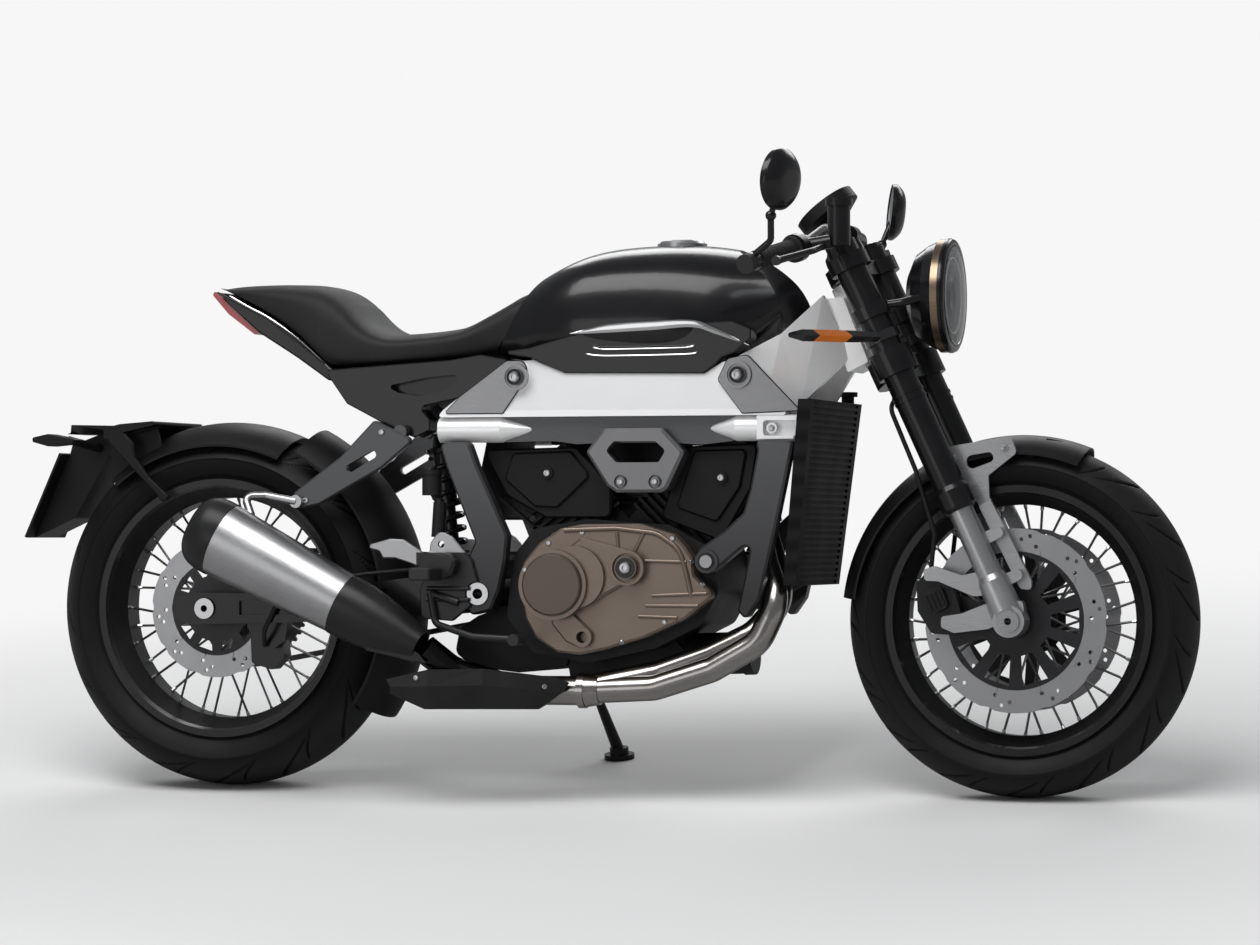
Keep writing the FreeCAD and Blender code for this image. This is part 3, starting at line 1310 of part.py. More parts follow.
def tail_cowl():
    """Gloss base under the seat, widening from the tail to the side panels."""
    outline = side((-8, 879), (36, 860.5), (94, 831), (147, 797), (194, 756), (217, 735), (351, 742),
                   (443, 748), (504, 755), (528, 748), (528, 643), (454, 643), (394, 673), (294, 703),
                   (205, 715), (146, 756), (75, 800), (28, 841))
    cowl = plate(outline, -76 * WIDEN, 76 * WIDEN, 6, 3)
    lines = [rod(drawn(-2, -77, 872), drawn(90, -77, 826), 1.8),
             rod(drawn(90, -77, 826), drawn(200, -77, 744), 1.8)]
    for line in lines:
        cowl = cowl.fuse(line).fuse(line.mirror(Vector(0, 0, 0), Vector(0, 1, 0)))
    feature("tail_cowl", cowl)


def side_panels():
    """Swept gloss panels under the seat, with an open window and a long point."""
    outline = side((216, 731, 10), (351, 740), (446, 746), (503, 755, 3), (556, 745, 4), (501, 706, 20),
                   (464, 680), (399, 667, 6), (395, 660, 4), (410, 643, 5), (410, 625, 4),
                   (382, 612, 6), (345, 626), (296, 652), (257, 672), (227, 714, 8))
    inner = 76 * WIDEN + float(s.seat_gap)
    panel = plate(outline, -PANEL_Y, -inner, 6, 2)
    hollow = plate(side((330, 702, 10), (400, 716, 8), (470, 722, 6), (440, 694, 8), (392, 684, 8),
                        (352, 690, 10)), -PANEL_Y - 1, -PANEL_Y + 22, 6)
    feature("side_panels", pair(panel.cut(hollow)))


def tail_lamp():
    """A red crescent lens wrapped round the tail's lower edge."""
    outline = side((-12, 876, 3), (-6, 869, 2), (25.4, 841.1), (73.4, 801.1, 2), (64, 797, 3),
                   (14, 834, 20), (-16, 868, 3))
    feature("tail_lamp", plate(outline, -66 * WIDEN, 66 * WIDEN, 2))


def guard(radius, thickness, half_width, sag, start, end, axle):
    """A wheel guard: a curved strip turned part of the way round an axle, angles from +X upwards."""
    outer = Part.Arc(Vector(-half_width, 0, radius - sag), Vector(0, 0, radius),
                     Vector(half_width, 0, radius - sag))
    inner = Part.Arc(Vector(half_width, 0, radius - sag - thickness), Vector(0, 0, radius - thickness),
                     Vector(-half_width, 0, radius - sag - thickness))
    edges = [outer.toShape(), Part.makeLine(outer.EndPoint, inner.StartPoint), inner.toShape(),
             Part.makeLine(inner.EndPoint, outer.StartPoint)]
    face = Part.Face(Part.Wire(edges))
    face.rotate(Vector(0, 0, 0), Vector(0, 0, 1), 90)
    face.rotate(Vector(0, 0, 0), Vector(0, 1, 0), 90 - start)
    strip = face.revolve(Vector(0, 0, 0), Vector(0, 1, 0), start - end)
    strip.translate(axle)
    return strip


def rear_guards():
    """Outer guard with its arms and plate bracket, and the inner guard ahead of the tyre."""
    radius = float(s.rear_tyre_radius)
    share = radius / DRAWN_REAR_RADIUS
    outer = guard(radius + 14, 4, 94, 40, 66, 131, REAR_AXLE)
    y_out = float(s.arm_inner_y) - 6
    right = plate(aft((-96, 500), (-106, 516), (-150, 560), (-196, 606), (-206, 628, 12),
                      (-176, 634, 14), (-150, 606), (-146, 580), (-120, 546), (-78, 508)), -y_out,
                  -y_out + 12, 10, 3)
    left = plate(aft((-60, 318), (-44, 334), (-72, 440), (-84, 510), (-146, 580), (-150, 606),
                     (-176, 634, 14), (-206, 628, 12), (-196, 606), (-160, 560), (-108, 500),
                     (-84, 430), (-72, 340)), y_out + 3.6, float(s.arm_inner_y) - float(s.seat_gap), 10)
    bridge = plate(aft((-206, 612), (-206, 632), (-176, 640), (-110, 645), (-110, 638), (-168, 626)),
                   -y_out, y_out + 6, 4)
    ribs = [plate(aft((-205, 538), (-140, 583), (-110, 597), (-120, 640), (-180, 634), (-206, 616)), y,
                  y + 6) for y in (-74, 68)]
    blade = facets({"a": (-303 * share, -34, 624 * share), "b": (-282 * share, -78, 640 * share),
                    "c": (-106 * share, -84, 636 * share), "d": (-160 * share, -84, 622 * share)},
                   ("abd", "bcd"), 84)
    blade = blade.fuse(blade.mirror(Vector(0, 0, 0), Vector(0, 1, 0)))
    holder = plate(aft((-298.1, 588.4), (-364.9, 439.4), (-288, 474, 10), (-222, 587, 8), (-196, 606),
                       (-150, 620, 6), (-160, 636), (-212, 634), (-294, 604)), -46, 46)
    inner = guard(radius * 1.115, 5, 92, 46, -34, 62, Vector(8 * share, 0, float(s.rear_tyre_radius) + 4))
    end = flat(back(-122 - s.seat_gap, 0))
    foot = plate(aft((340, 330)) + [(end[0], end[1] - 10), (end[0], end[1] + 8)] + aft((348, 356)), -40, 40)
    feature("rear_guards", Part.makeCompound([fuse(outer, bridge, holder, blade, left, right, *ribs),
                                              fuse(inner, foot)]))


def number_plate():
    """A blank plate that leans back under its holder, with a raised edge."""
    outline = aft((-298.5, 588.2), (-301, 589.5), (-368, 440), (-365.4, 438.8))
    slab = plate(outline, -85, 85)
    lip = plate(aft((-301, 589.5), (-302.4, 590), (-369.4, 440.6), (-368, 440)), -85, 85)
    inside = plate(aft((-290, 580), (-304, 586), (-367, 446), (-352, 440)), -79, 79)
    edge = lip.cut(inside)
    feature("number_plate", fuse(slab, edge))


def rear_signals():
    share = float(s.rear_tyre_radius) / DRAWN_REAR_RADIUS
    stalk = rod((-240 * share, -48.7, 598 * share), (-262 * share, -132, 612 * share), 7)
    lamp = plate(aft((-316, 608), (-286, 600), (-240, 604), (-232, 612), (-286, 622), (-316, 616)),
                 -172, -132, 4, 2)
    feature("rear_signals", pair(fuse(stalk, lamp)))


def footrests():
    """Rider's rests with their carriers, heel guards, link bars, the brake pedal and the gear lever."""
    y = float(LEG_Y + s.leg_thickness)
    near = -y - float(s.seat_gap)
    carrier = plate(side((500, 320), (520, 350, 8), (505, 400), (470, 440, 14), (446, 452, 14),
                         (430, 430, 12), (424, 380), (410, 350), (414, 300), (470, 296)), near - 8,
                    near, 10, 2)
    carrier = carrier.cut(across(side((450, 428))[0], 6, near - 10, near + 1))
    ring_cut = across(back(0, 0), 21, near - 10, near + 1)
    pad_block = plate(side((414, 372, 8), (420, 408, 10), (440, 416), (470, 412, 10), (486, 398, 8),
                           (478, 376, 10), (460, 368), (430, 366)), near - 40, near - 8, 6, 5)
    rest = plate(side((424, 366), (424, 388), (462, 388), (462, 366)), near - 104, near - 38, 6, 3)
    link = plate(side((314, 424, 4), (362, 437), (386, 436, 10), (430, 408, 4), (424, 386, 6),
                      (398, 396), (372, 404), (350, 404, 4), (344, 416, 6)), near - 26, near - 14, 4, 2)
    x, z = side((452, 300))[0]
    pedal = tube([(x - 20, near - 12, z + 44), (x - 10, near - 16, z - 8), (x + 60, near - 22, z - 30),
                  (x + 140, near - 24, z - 34), (x + 146, near - 62, z - 34)], 6, 16)
    toe = rod((x + 146, near - 30, z - 34), (x + 146, near - 66, z - 34), 10)
    spring = rod((x - 20, near - 10, z + 44), (x + 30, near - 10, z + 28), 7)
    bars = [rod(drawn(424, 0, v), drawn(500, 0, v), 4) for v in (333, 352)]
    for bar in bars:
        bar.translate(Vector(0, near - 8, 0))
    every = fuse(carrier.cut(ring_cut), pad_block, rest, link, pedal, toe, spring,
                 *[bar.cut(ring_cut) for bar in bars])
    feature("footrests", pair(every))


def rear_hose():
    """The rear brake's hose along the right arm up to its cylinder and pot behind the rest."""
    y = -float(s.arm_inner_y + s.arm_thickness) - 4.3
    hose = tube([drawn(104, y + 24, 250), drawn(112, y, 276), drawn(150, y, 352), drawn(300, y, 376),
                 drawn(392, y, 384), drawn(430, y - 2, 420), drawn(436, y - 4, 452)], 4, 22)
    cylinder = rod(drawn(436, y - 8, 440), drawn(440, y - 8, 500), 12)
    pot = rod(drawn(424, y - 6, 512), drawn(424, y - 6, 548), 17)
    lid = rod(drawn(424, y - 6, 548), drawn(424, y - 6, 556), 19)
    link = rod(drawn(440, y - 8, 496), drawn(426, y - 6, 516), 6)
    feature("rear_hose", fuse(hose, cylinder, pot, lid, link))


def top_point(rise, forwards, y):
    """A place above the upper clamp, measured up the steering axis and square to it."""
    return steer_point(UPPER_REACH + rise, forwards, y)


# Steering, drawn in the world of the upright motorcycle with the wheel straight ahead

def steer_point(reach, forwards, y):
    x, z = flat(on_axis(reach, forwards))
    return Vector(x, y, z)


STEER = Placement(steer_point(0, 0, 0), Rotation(Vector(0, 1, 0), -float(s.rake)))


def clamp_shape(reach, height):
    """A clamp across both legs and the stem, in the steering axis's own frame."""
    half = float(s.fork_spacing) / 2
    wall = float(s.fork_tube_radius + s.clamp_wall)
    ahead = float(s.fork_offset)
    low = float(reach) - float(height) / 2
    tall = float(height)
    web = [(ahead - 14, -half), (-26, -30), (-30, 0), (-26, 30), (ahead - 14, half), (ahead + 16, half),
           (ahead - 2, 0), (ahead + 16, -half)]
    face = Part.Face(Part.makePolygon([Vector(x, y, low) for x, y in web + web[:1]]))
    pieces = [face.extrude(Vector(0, 0, tall)), Part.makeCylinder(30, tall, Vector(0, 0, low))]
    for side in (-half, half):
        pieces.append(Part.makeCylinder(wall, tall, Vector(ahead, side, low)))
    clamp = fuse(*pieces)
    for side in (-half, half):
        hole = Part.makeCylinder(float(s.fork_tube_radius) + 0.05, tall + 2, Vector(ahead, side, low - 1))
        clamp = clamp.cut(hole)
    return clamp


def triple_clamps():
    lower = clamp_shape(s.lower_clamp_reach, s.lower_clamp_height)
    upper = clamp_shape(UPPER_REACH, s.upper_clamp_height)
    base = float(s.lower_clamp_reach)
    stem = Part.makeCylinder(float(s.stem_radius), float(UPPER_REACH) - base, Vector(0, 0, base))
    feature("triple_clamps", fuse(lower, upper, stem), STEER)


def fork_tubes():
    half = float(s.fork_spacing) / 2
    ahead = float(s.fork_offset)
    radius = float(s.fork_tube_radius)
    low = float(s.fork_slider_reach)
    legs_made = []
    rib_reach = float(s.lower_clamp_reach) - 60
    for side_y in (-half, half):
        leg = Part.makeCylinder(radius, float(s.fork_length) - low, Vector(ahead, side_y, low))
        collar = Part.makeCylinder(radius + 4, 30, Vector(ahead, side_y, low))
        lip = Part.makeCone(radius + 4, radius, 8, Vector(ahead, side_y, low + 30))
        foot = Part.makeCone(radius - 2, radius + 4, 6, Vector(ahead, side_y, low - 6))
        ribs = [Part.makeCylinder(radius + 1.5, 5, Vector(ahead, side_y, rib_reach - 12 * n))
                for n in range(2)]
        cap = Part.makeCylinder(radius - 6, 8, Vector(ahead, side_y, float(s.fork_length)))
        knob = Part.makeCylinder(9, 11, Vector(ahead, side_y, float(s.fork_length)))
        hollow = Part.makeCylinder(float(s.fork_slider_radius) + 0.3, 7, Vector(ahead, side_y, low - 6.5))
        legs_made.append(fuse(leg, collar, lip, foot.cut(hollow), cap, knob, *ribs))
    feature("fork_tubes", Part.makeCompound(legs_made), STEER)


def fork_sliders():
    """Bright lower legs with their axle lugs, caliper arms and the ears for the guard's stays."""
    half = float(s.fork_spacing) / 2
    ahead = float(s.fork_offset)
    made = []
    for sign in (-1, 1):
        y = sign * half
        tube_part = Part.makeCylinder(float(s.fork_slider_radius), float(s.fork_slider_reach) - 0.3,
                                      Vector(ahead, y, 0))
        shoe = Part.makeCone(30, 26, 84, Vector(ahead, y, -10))
        step = Part.makeCone(26, 22.5, 10, Vector(ahead, y, 74))
        arm_low = plate([(ahead - 6, 4), (ahead - 40, 4), (ahead - 96, 22), (ahead - 112, 40, 6),
                         (ahead - 104, 56, 6), (ahead - 70, 46), (ahead - 30, 44), (ahead - 8, 40)],
                        y - 7, y + 7, 8)
        arm_high = plate([(ahead - 8, 52), (ahead - 40, 64), (ahead - 84, 112), (ahead - 104, 122, 6),
                          (ahead - 100, 140, 6), (ahead - 80, 138), (ahead - 44, 104), (ahead - 8, 96)],
                         y - 7, y + 7, 8)
        lug_half = float(s.axle_lug_width) / 2
        lug = rod((ahead, y - lug_half, 0), (ahead, y + lug_half, 0), 27)
        wedge = plate([(ahead + 4, -14), (ahead + 30, 6, 8), (ahead + 34, 22, 6), (ahead + 6, 34)],
                      y - 12, y + 12, 4)
        low, high = sorted((sign * (half - 17.7), y))
        ears = [plate([(ahead + 6, reach - 11), (ahead + 50, reach - 9, 9), (ahead + 50, reach + 9, 9),
                       (ahead + 6, reach + 11)], low, high, 2) for reach in (66, 144)]
        leg = fuse(tube_part, shoe, step, arm_low, arm_high, lug, wedge, *ears)
        bore = rod((ahead, y - 46, 0), (ahead, y + 46, 0), float(s.axle_radius + s.bore_gap))
        recess = rod((ahead, sign * (half + lug_half), 0), (ahead, sign * (half + lug_half + 20), 0), 20)
        made.append(leg.cut(bore).cut(recess))
    feature("fork_sliders", Part.makeCompound(made), STEER)


def front_axle():
    ahead = float(s.fork_offset)
    gap = float(s.seat_gap)
    reach = float(s.fork_spacing + s.axle_lug_width) / 2 + gap + 5
    axle = rod((ahead, -reach, 0), (ahead, reach, 0), float(s.axle_radius))
    ends = [rod((ahead, y, 0), (ahead, y + 5, 0), 19) for y in (-reach, reach - 5)]
    hub_end = float(s.front_disc_y) + float(s.disc_thickness) / 2 + 2
    lug = float(s.fork_spacing) / 2 - 30 - gap
    spacers = [rod((ahead, sign * (hub_end), 0), (ahead, sign * lug, 0), 17) for sign in (-1, 1)]
    axle = fuse(axle, *ends, *spacers)
    bore = rod((ahead, -reach - 2, 0), (ahead, reach + 2, 0), float(s.axle_bore_radius))
    feature("front_axle", axle.cut(bore), STEER)


def calipers():
    """Radial calipers behind the legs, ribbed, and slotted for their discs."""
    half = float(s.front_disc_y)
    ahead = float(s.fork_offset)
    face = float(s.fork_spacing) / 2 - 7 - float(s.seat_gap)
    made = []
    for sign in (-1, 1):
        outline = [(ahead - 78, 26), (ahead - 70, 70), (ahead - 66, 118), (ahead - 92, 138),
                   (ahead - 122, 126), (ahead - 140, 82), (ahead - 134, 38), (ahead - 104, 22)]
        low, high = sorted((sign * (half - 20), sign * face))
        block = plate(outline, low, high, 9)
        bulge = plate([(ahead - 86, 66), (ahead - 84, 102), (ahead - 106, 108), (ahead - 124, 86),
                       (ahead - 116, 66)], *sorted((sign * (face - 4), sign * (face + 12))), 8)
        ribs = [rod((ahead - 91 - 8 * n, sign * (face + 11), 70),
                    (ahead - 90 - 8 * n, sign * (face + 11), 98), 3) for n in range(4)]
        slot = turned([(sign * half - 6, 40), (sign * half + 6, 40),
                       (sign * half + 6, float(s.front_disc_radius) + 5),
                       (sign * half - 6, float(s.front_disc_radius) + 5)], Vector(ahead, 0, 0))
        pins = [rod((ahead - 100, sign * (half - 24), reach), (ahead - 100, sign * face, reach), 7)
                for reach in (58, 100)]
        made.append(fuse(block, bulge, *ribs, *pins).cut(slot))
    feature("calipers", Part.makeCompound(made), STEER)


def front_guard():
    """A narrow guard over the tyre, pointed at both ends."""
    radius = float(s.front_tyre_radius)
    strip = guard(radius + 13, 4, float(s.guard_half_width), 30, 68, 173, FRONT_AXLE)
    tip = plate([(FRONT_AXLE.x + 44, FRONT_AXLE.z + radius + 4),
                 (FRONT_AXLE.x + 112, FRONT_AXLE.z + radius - 4),
                 (FRONT_AXLE.x + 140, FRONT_AXLE.z + radius + 60),
                 (FRONT_AXLE.x + 90, FRONT_AXLE.z + radius + 60)], -100, 100)
    feature("front_guard", strip.cut(tip.cut(plate([(FRONT_AXLE.x, 0), (FRONT_AXLE.x + 200, 0),
                                                    (FRONT_AXLE.x + 200, 900), (FRONT_AXLE.x, 900)],
                                                   -24, 24))))


def guard_stays():
    """Bright stays from the guard's sides down the fronts of the legs."""
    half = float(s.fork_spacing) / 2
    ahead = float(s.fork_offset)
    inner = float(s.guard_half_width) + float(s.seat_gap)
    reach = float(s.front_tyre_radius)
    upper = [(ahead + 26, 176), (ahead + 26, 205), (ahead + 16, 232), (ahead + 14, reach - 34),
             (ahead + 4, reach + 2, 8), (ahead + 16, reach + 14, 8), (ahead + 124, reach - 16, 8),
             (ahead + 122, reach - 46, 8), (ahead + 62, reach - 60), (ahead + 48, 206), (ahead + 52, 176)]
    window = [(ahead + 34, reach - 38, 10), (ahead + 40, reach - 14, 10), (ahead + 84, reach - 26, 10),
              (ahead + 82, reach - 42, 10)]
    lower = [(ahead + 33, 44, 8), (ahead + 50, 34, 10), (ahead + 56, 48, 8), (ahead + 54, 110),
             (ahead + 50, 200, 4), (ahead + 27, 200, 4), (ahead + 30, 120)]
    made = []
    for sign in (-1, 1):
        low, high = sorted((sign * inner, sign * (half - 27.4)))
        top = plate(upper, low, high, 6).cut(plate(window, low - 1, high + 1, 8))
        low, high = sorted((sign * (half - 29), sign * (half - 18)))
        leg = plate(lower, low, high, 6)
        bolts = [rod((ahead + 42, sign * (half - 33), at), (ahead + 42, sign * (half - 28), at), 7)
                 for at in (68, 146)]
        bolts += [rod((x, sign * (half - 30), z), (x, sign * (half - 24), z), 6.5)
                  for x, z in ((ahead + 20, reach - 8), (ahead + 106, reach - 30))]
        made.append(fuse(top, leg, *bolts))
    feature("guard_stays", Part.makeCompound(made), STEER)


def ring_clamp(reach, tall, wall=6.0):
    """A band round each fork leg, in the steering axis's own frame."""
    radius = float(s.fork_tube_radius)
    bands = []
    for side_y in (-float(s.fork_spacing) / 2, float(s.fork_spacing) / 2):
        place = Vector(float(s.fork_offset), side_y, reach)
        band = Part.makeCylinder(radius + wall, tall, place)
        bands.append(band.cut(Part.makeCylinder(radius + 0.1, tall + 2, place - Vector(0, 0, 1))))
    return bands




def headlight():
    """A shallow round lamp with a wide rim, its lens, and the arms that hold it to the legs."""
    radius = float(s.headlight_radius)
    depth = float(s.headlight_depth)
    reach = float(s.lower_clamp_reach) + 103
    lamp = steer_point(reach, 88.6, 0)
    turn = Placement(lamp, Rotation(Vector(0, 0, 1), -90))
    shell = turned([(0, 0.001), (0, 42), (14, 72), (34, 86), (50, radius - 1), (52, radius),
                    (54, radius + 2), (depth - 4, radius + 2), (depth, radius - 1), (depth, radius - 8),
                    (depth - 8, radius - 9), (depth - 8, 0.001)])
    shell.Placement = turn
    arms = []
    for sign in (-1, 1):
        start = steer_point(reach - 10, float(s.fork_offset) + float(s.fork_tube_radius) + 5, sign * 101)
        middle = lamp + Vector(36, sign * 80, -6)
        arms.append(tube([tuple(start), tuple(start + Vector(22, -sign * 3, 3)), tuple(middle)], 7, 14))
    bands = []
    for band in ring_clamp(reach - 22, 22):
        band.Placement = STEER.multiply(band.Placement)
        bands.append(band)
    feature("headlight_shell", fuse(shell, *arms, *bands))
    lens = turned([(depth - 7.7, 0.001), (depth - 7.7, radius - 9.3), (depth + 1, radius - 10),
                   (depth + 7, 60), (depth + 9, 30), (depth + 10, 0.001)])
    feature("headlight_lens", lens, turn)


def bar_places():
    """The right half of the handlebar: its end, its bend and its middle."""
    return [top_point(31, -63, -float(s.bar_end_y)), top_point(46, -1, -196), top_point(66, 26, -124)]




def handlebar():
    """A raised bar on two risers from the upper clamp."""
    ends = bar_places()
    radius = float(s.bar_radius)
    centre = Vector(ends[2].x, 0, ends[2].z)
    half_bar = tube([tuple(spot) for spot in ends] + [(centre.x, -60, centre.z)], radius, 50)
    pieces = [rod(centre - Vector(0, 60, 0), centre + Vector(0, 60, 0), radius)] + both_sides(half_bar)
    seat_rise = float(s.upper_clamp_height / 2 + s.seat_gap)
    for side_y in (-42, 42):
        pieces.append(rod(top_point(seat_rise, 26, side_y), top_point(62, 26, side_y), 17, 13))
        pieces.append(rod(centre + Vector(0, side_y - 16, 0), centre + Vector(0, side_y + 16, 0), 18))
    feature("handlebar", fuse(*pieces))


def grip_line(start, end):
    """Two points on the right grip's line, by their distance from the bar's end."""
    a, b = bar_places()[:2]
    run = (b - a).normalize()
    return a + run * start, a + run * end


def hollow_grip(start, end, radius, bore):
    low, high = grip_line(start, end)
    margin = (high - low).normalize()
    return rod(low, high, radius).cut(rod(low - margin, high + margin, bore))


def grips():
    """Ribbed sleeves and the weights at the bar's ends."""
    bore = float(s.bar_radius) + 0.05
    low, high = grip_line(-14, -0.3)
    weight = rod(low, high, float(s.grip_radius) - 1)
    sleeve = hollow_grip(GRIP_START, GRIP_START + float(s.grip_length), float(s.grip_radius) - 1, bore)
    rings = [hollow_grip(GRIP_START + 4 + 7.5 * n, GRIP_START + 8 + 7.5 * n, float(s.grip_radius), bore)
             for n in range(16)]
    collar = hollow_grip(GRIP_START + float(s.grip_length) - 5, GRIP_START + float(s.grip_length), 21, bore)
    sleeve = fuse(sleeve, collar, *rings)
    feature("grips", Part.makeCompound(both_sides(sleeve) + both_sides(weight)))


def hand_controls():
    """Switch housings, levers and the brake's fluid pot."""
    bore = float(s.bar_radius) + 0.05
    grip_end = GRIP_START + float(s.grip_length) + 0.5
    housing = fuse(hollow_grip(grip_end, grip_end + 26, 22, bore),
                   hollow_grip(grip_end + 4, grip_end + 20, 24, bore))
    perch_low, perch_high = grip_line(grip_end + 26, grip_end + 44)
    perch = rod(perch_low, perch_high, 17).cut(rod(*grip_line(grip_end + 20, grip_end + 60), bore))
    root = perch_low + Vector(52, 8, 8)
    block = rod(perch_low + Vector(14, 6, 2), root, 12)
    lever = tube([tuple(perch_low + Vector(40, 0, 0)), tuple(grip_line(104, 104)[0] + Vector(56, -4, 2)),
                  tuple(grip_line(20, 20)[0] + Vector(40, -6, 0))], 5.5, 40)
    knob = rod(grip_line(18, 18)[0] + Vector(40, -6, 0), grip_line(14, 14)[0] + Vector(40, -8, 0), 8)
    both = [housing, perch, block, lever, knob]
    other_side = [part.mirror(Vector(0, 0, 0), Vector(0, 1, 0)) for part in both]
    foot = root + Vector(10, 10, -6)
    pot = rod(foot, foot + Vector(0, 0, 66), 19)
    lid = rod(foot + Vector(0, 0, 66), foot + Vector(0, 0, 78), 23)
    core = rod(*grip_line(grip_end - 1, grip_end + 80), bore)
    other_core = core.mirror(Vector(0, 0, 0), Vector(0, 1, 0))
    feature("hand_controls", Part.makeCompound([fuse(*both, pot, lid).cut(core),
                                                fuse(*other_side).cut(other_core)]))


def mirrors():
    """Round mirrors on jointed stems from clamps at the bar's ends."""
    radius = float(s.mirror_radius)
    y = -float(s.mirror_y)
    foot = grip_line(9, 9)[0]
    glass = foot + Vector(58, y - foot.y, 132)
    elbow = foot + Vector(38, y + 10 - foot.y, 74)
    stem = tube([tuple(foot + Vector(2, 0, 10)), tuple(foot + Vector(34, -6, 34)), tuple(elbow)], 5.5, 12)
    ball = Part.makeSphere(9, elbow)
    neck = rod(elbow, glass - Vector(4, 0, 14), 5)
    facing = Vector(-0.93, 0.32, 0.1).normalize()
    head = fuse(rod(glass - facing * 2, glass + facing * 6, radius),
                rod(glass - facing * 14, glass - facing * 2, radius * 0.62, radius))
    rim = rod(glass + facing * 6, glass + facing * 8, radius).cut(rod(glass, glass + facing * 9, radius - 3))
    clamp = hollow_grip(1, 17, 16, float(s.bar_radius) + 0.05)
    bore = rod(*grip_line(-3, 24), float(s.bar_radius) + 0.05)
    feature("mirrors", pair(fuse(stem, ball, neck, head, rim, clamp).cut(bore)))


def instrument():
    """A round dial in a hooded pod that faces the rider, on a foot from the upper clamp."""
    radius = float(s.instrument_radius)
    centre = top_point(112, 18, 0)
    facing = Vector(-0.62, 0, 0.78).normalize()
    pod = fuse(rod(centre - facing * 8, centre + facing * 12, radius),
               rod(centre - facing * 18, centre - facing * 8, radius * 0.62, radius))
    dish = rod(centre + facing * 7, centre + facing * 20, radius - 5)
    low = top_point(float(s.upper_clamp_height / 2 + s.seat_gap), -14, 0)
    post = top_point(34, -14, 0)
    foot = fuse(rod(low, post, 9), rod(post, centre - facing * 14, 7), Part.makeSphere(9, post))
    feature("instrument", fuse(pod.cut(dish), foot))


def front_signals():
    """Slim lamps that sweep back from bands round the legs."""
    reach = float(s.lower_clamp_reach) + 46
    inner = steer_point(reach, float(s.fork_offset),
                        -float(s.fork_spacing) / 2 - float(s.fork_tube_radius) - 4)
    outer = inner + Vector(-122, -124, 0)
    run = outer - inner
    across_run = run.cross(Vector(0, 0, 1)).normalize()
    wires = []
    for share, tall, wide in ((0.0, 8, 6), (0.3, 10, 9), (0.85, 10, 9), (1.0, 4, 4)):
        middle = inner + run * share
        corners = [middle + across_run * wide, middle + Vector(0, 0, tall), middle - across_run * wide,
                   middle - Vector(0, 0, tall)]
        wires.append(Part.makePolygon(corners + corners[:1]))
    lamp = Part.makeLoft(wires, True, True)
    bands = []
    for band in ring_clamp(reach - 8, 16, 5):
        band.Placement = STEER.multiply(band.Placement)
        bands.append(band)
    lamps = both_sides(lamp)
    feature("front_signals", Part.makeCompound([fuse(lamps[0], bands[0]), fuse(lamps[1], bands[1])]))


def brake_hoses():
    """Front brake hoses from the calipers up the legs to the lower clamp and on to the pot."""
    half = float(s.fork_spacing) / 2
    low = float(s.lower_clamp_reach) - float(s.lower_clamp_height) / 2
    hoses = []
    for sign in (-1, 1):
        spots = [steer_point(140, float(s.fork_offset) - 92, sign * (half - 26)),
                 steer_point(190, float(s.fork_offset) - 62, sign * (half - 24)),
                 steer_point(300, float(s.fork_offset) - 46, sign * (half - 20)),
                 steer_point(low - 40, float(s.fork_offset) - 44, sign * (half - 30)),
                 steer_point(low - 14, float(s.fork_offset) - 20, sign * 26),
                 steer_point(low - 14, float(s.fork_offset) - 16, sign * 6)]
        hoses.append(tube([tuple(spot) for spot in spots], 4, 26))
    junction = rod(steer_point(low - 14, float(s.fork_offset) - 16, -14),
                   steer_point(low - 14, float(s.fork_offset) - 16, 14), 9)
    post = rod(steer_point(low - 16, float(s.fork_offset) - 16, 0),
               steer_point(low - 0.3, float(s.fork_offset) - 16, 0), 7)
    feature("brake_hoses", fuse(*hoses, junction, post))


# Side stand, out and down on the left

STAND_PIVOT = Vector(604, 130, 236)
FOLDED = Vector(-0.9928, 0.121, 0)


def stand_foot():
    """The foot's centre on the ground, in the upright motorcycle's frame."""
    angle = math.radians(float(s.lean))
    y = float(s.stand_foot_y)
    z = (y * math.sin(angle) - LIFT) / math.cos(angle)
    return Vector(634, y, z), Vector(0, -math.sin(angle), math.cos(angle))


def side_stand():
    foot, up = stand_foot()
    down = (foot - STAND_PIVOT).normalize()
    hinge = down.cross(FOLDED).normalize()
    eye = rod(STAND_PIVOT - hinge * 6, STAND_PIVOT + hinge * 6, 15)
    thick = float(s.stand_radius)
    leg = rod(STAND_PIVOT + down * 8.5, foot + up * (thick + 1), 5.6, thick)
    shoe = rod(foot, foot + up * 9, 27)
    collar = rod(foot + up * 4, foot + up * (thick + 10), thick + 6)
    stand = fuse(eye, leg, shoe, collar)
    bore = rod(STAND_PIVOT - hinge * 10, STAND_PIVOT + hinge * 10, 6.05)
    feature("side_stand", stand.cut(bore))
    bolt = rod(STAND_PIVOT - hinge * 26, STAND_PIVOT + hinge * 8, 6)
    ear = rod(STAND_PIVOT - hinge * 26, STAND_PIVOT - hinge * 6.3, 14)
    beam = plate([flat(p) for p in (back(56, -70), back(150, -40), back(160, -96), back(110, -120),
                                    back(76, -124))], float(s.case_left_y), 112, 10)
    feature("stand_bracket", fuse(beam, ear, bolt))


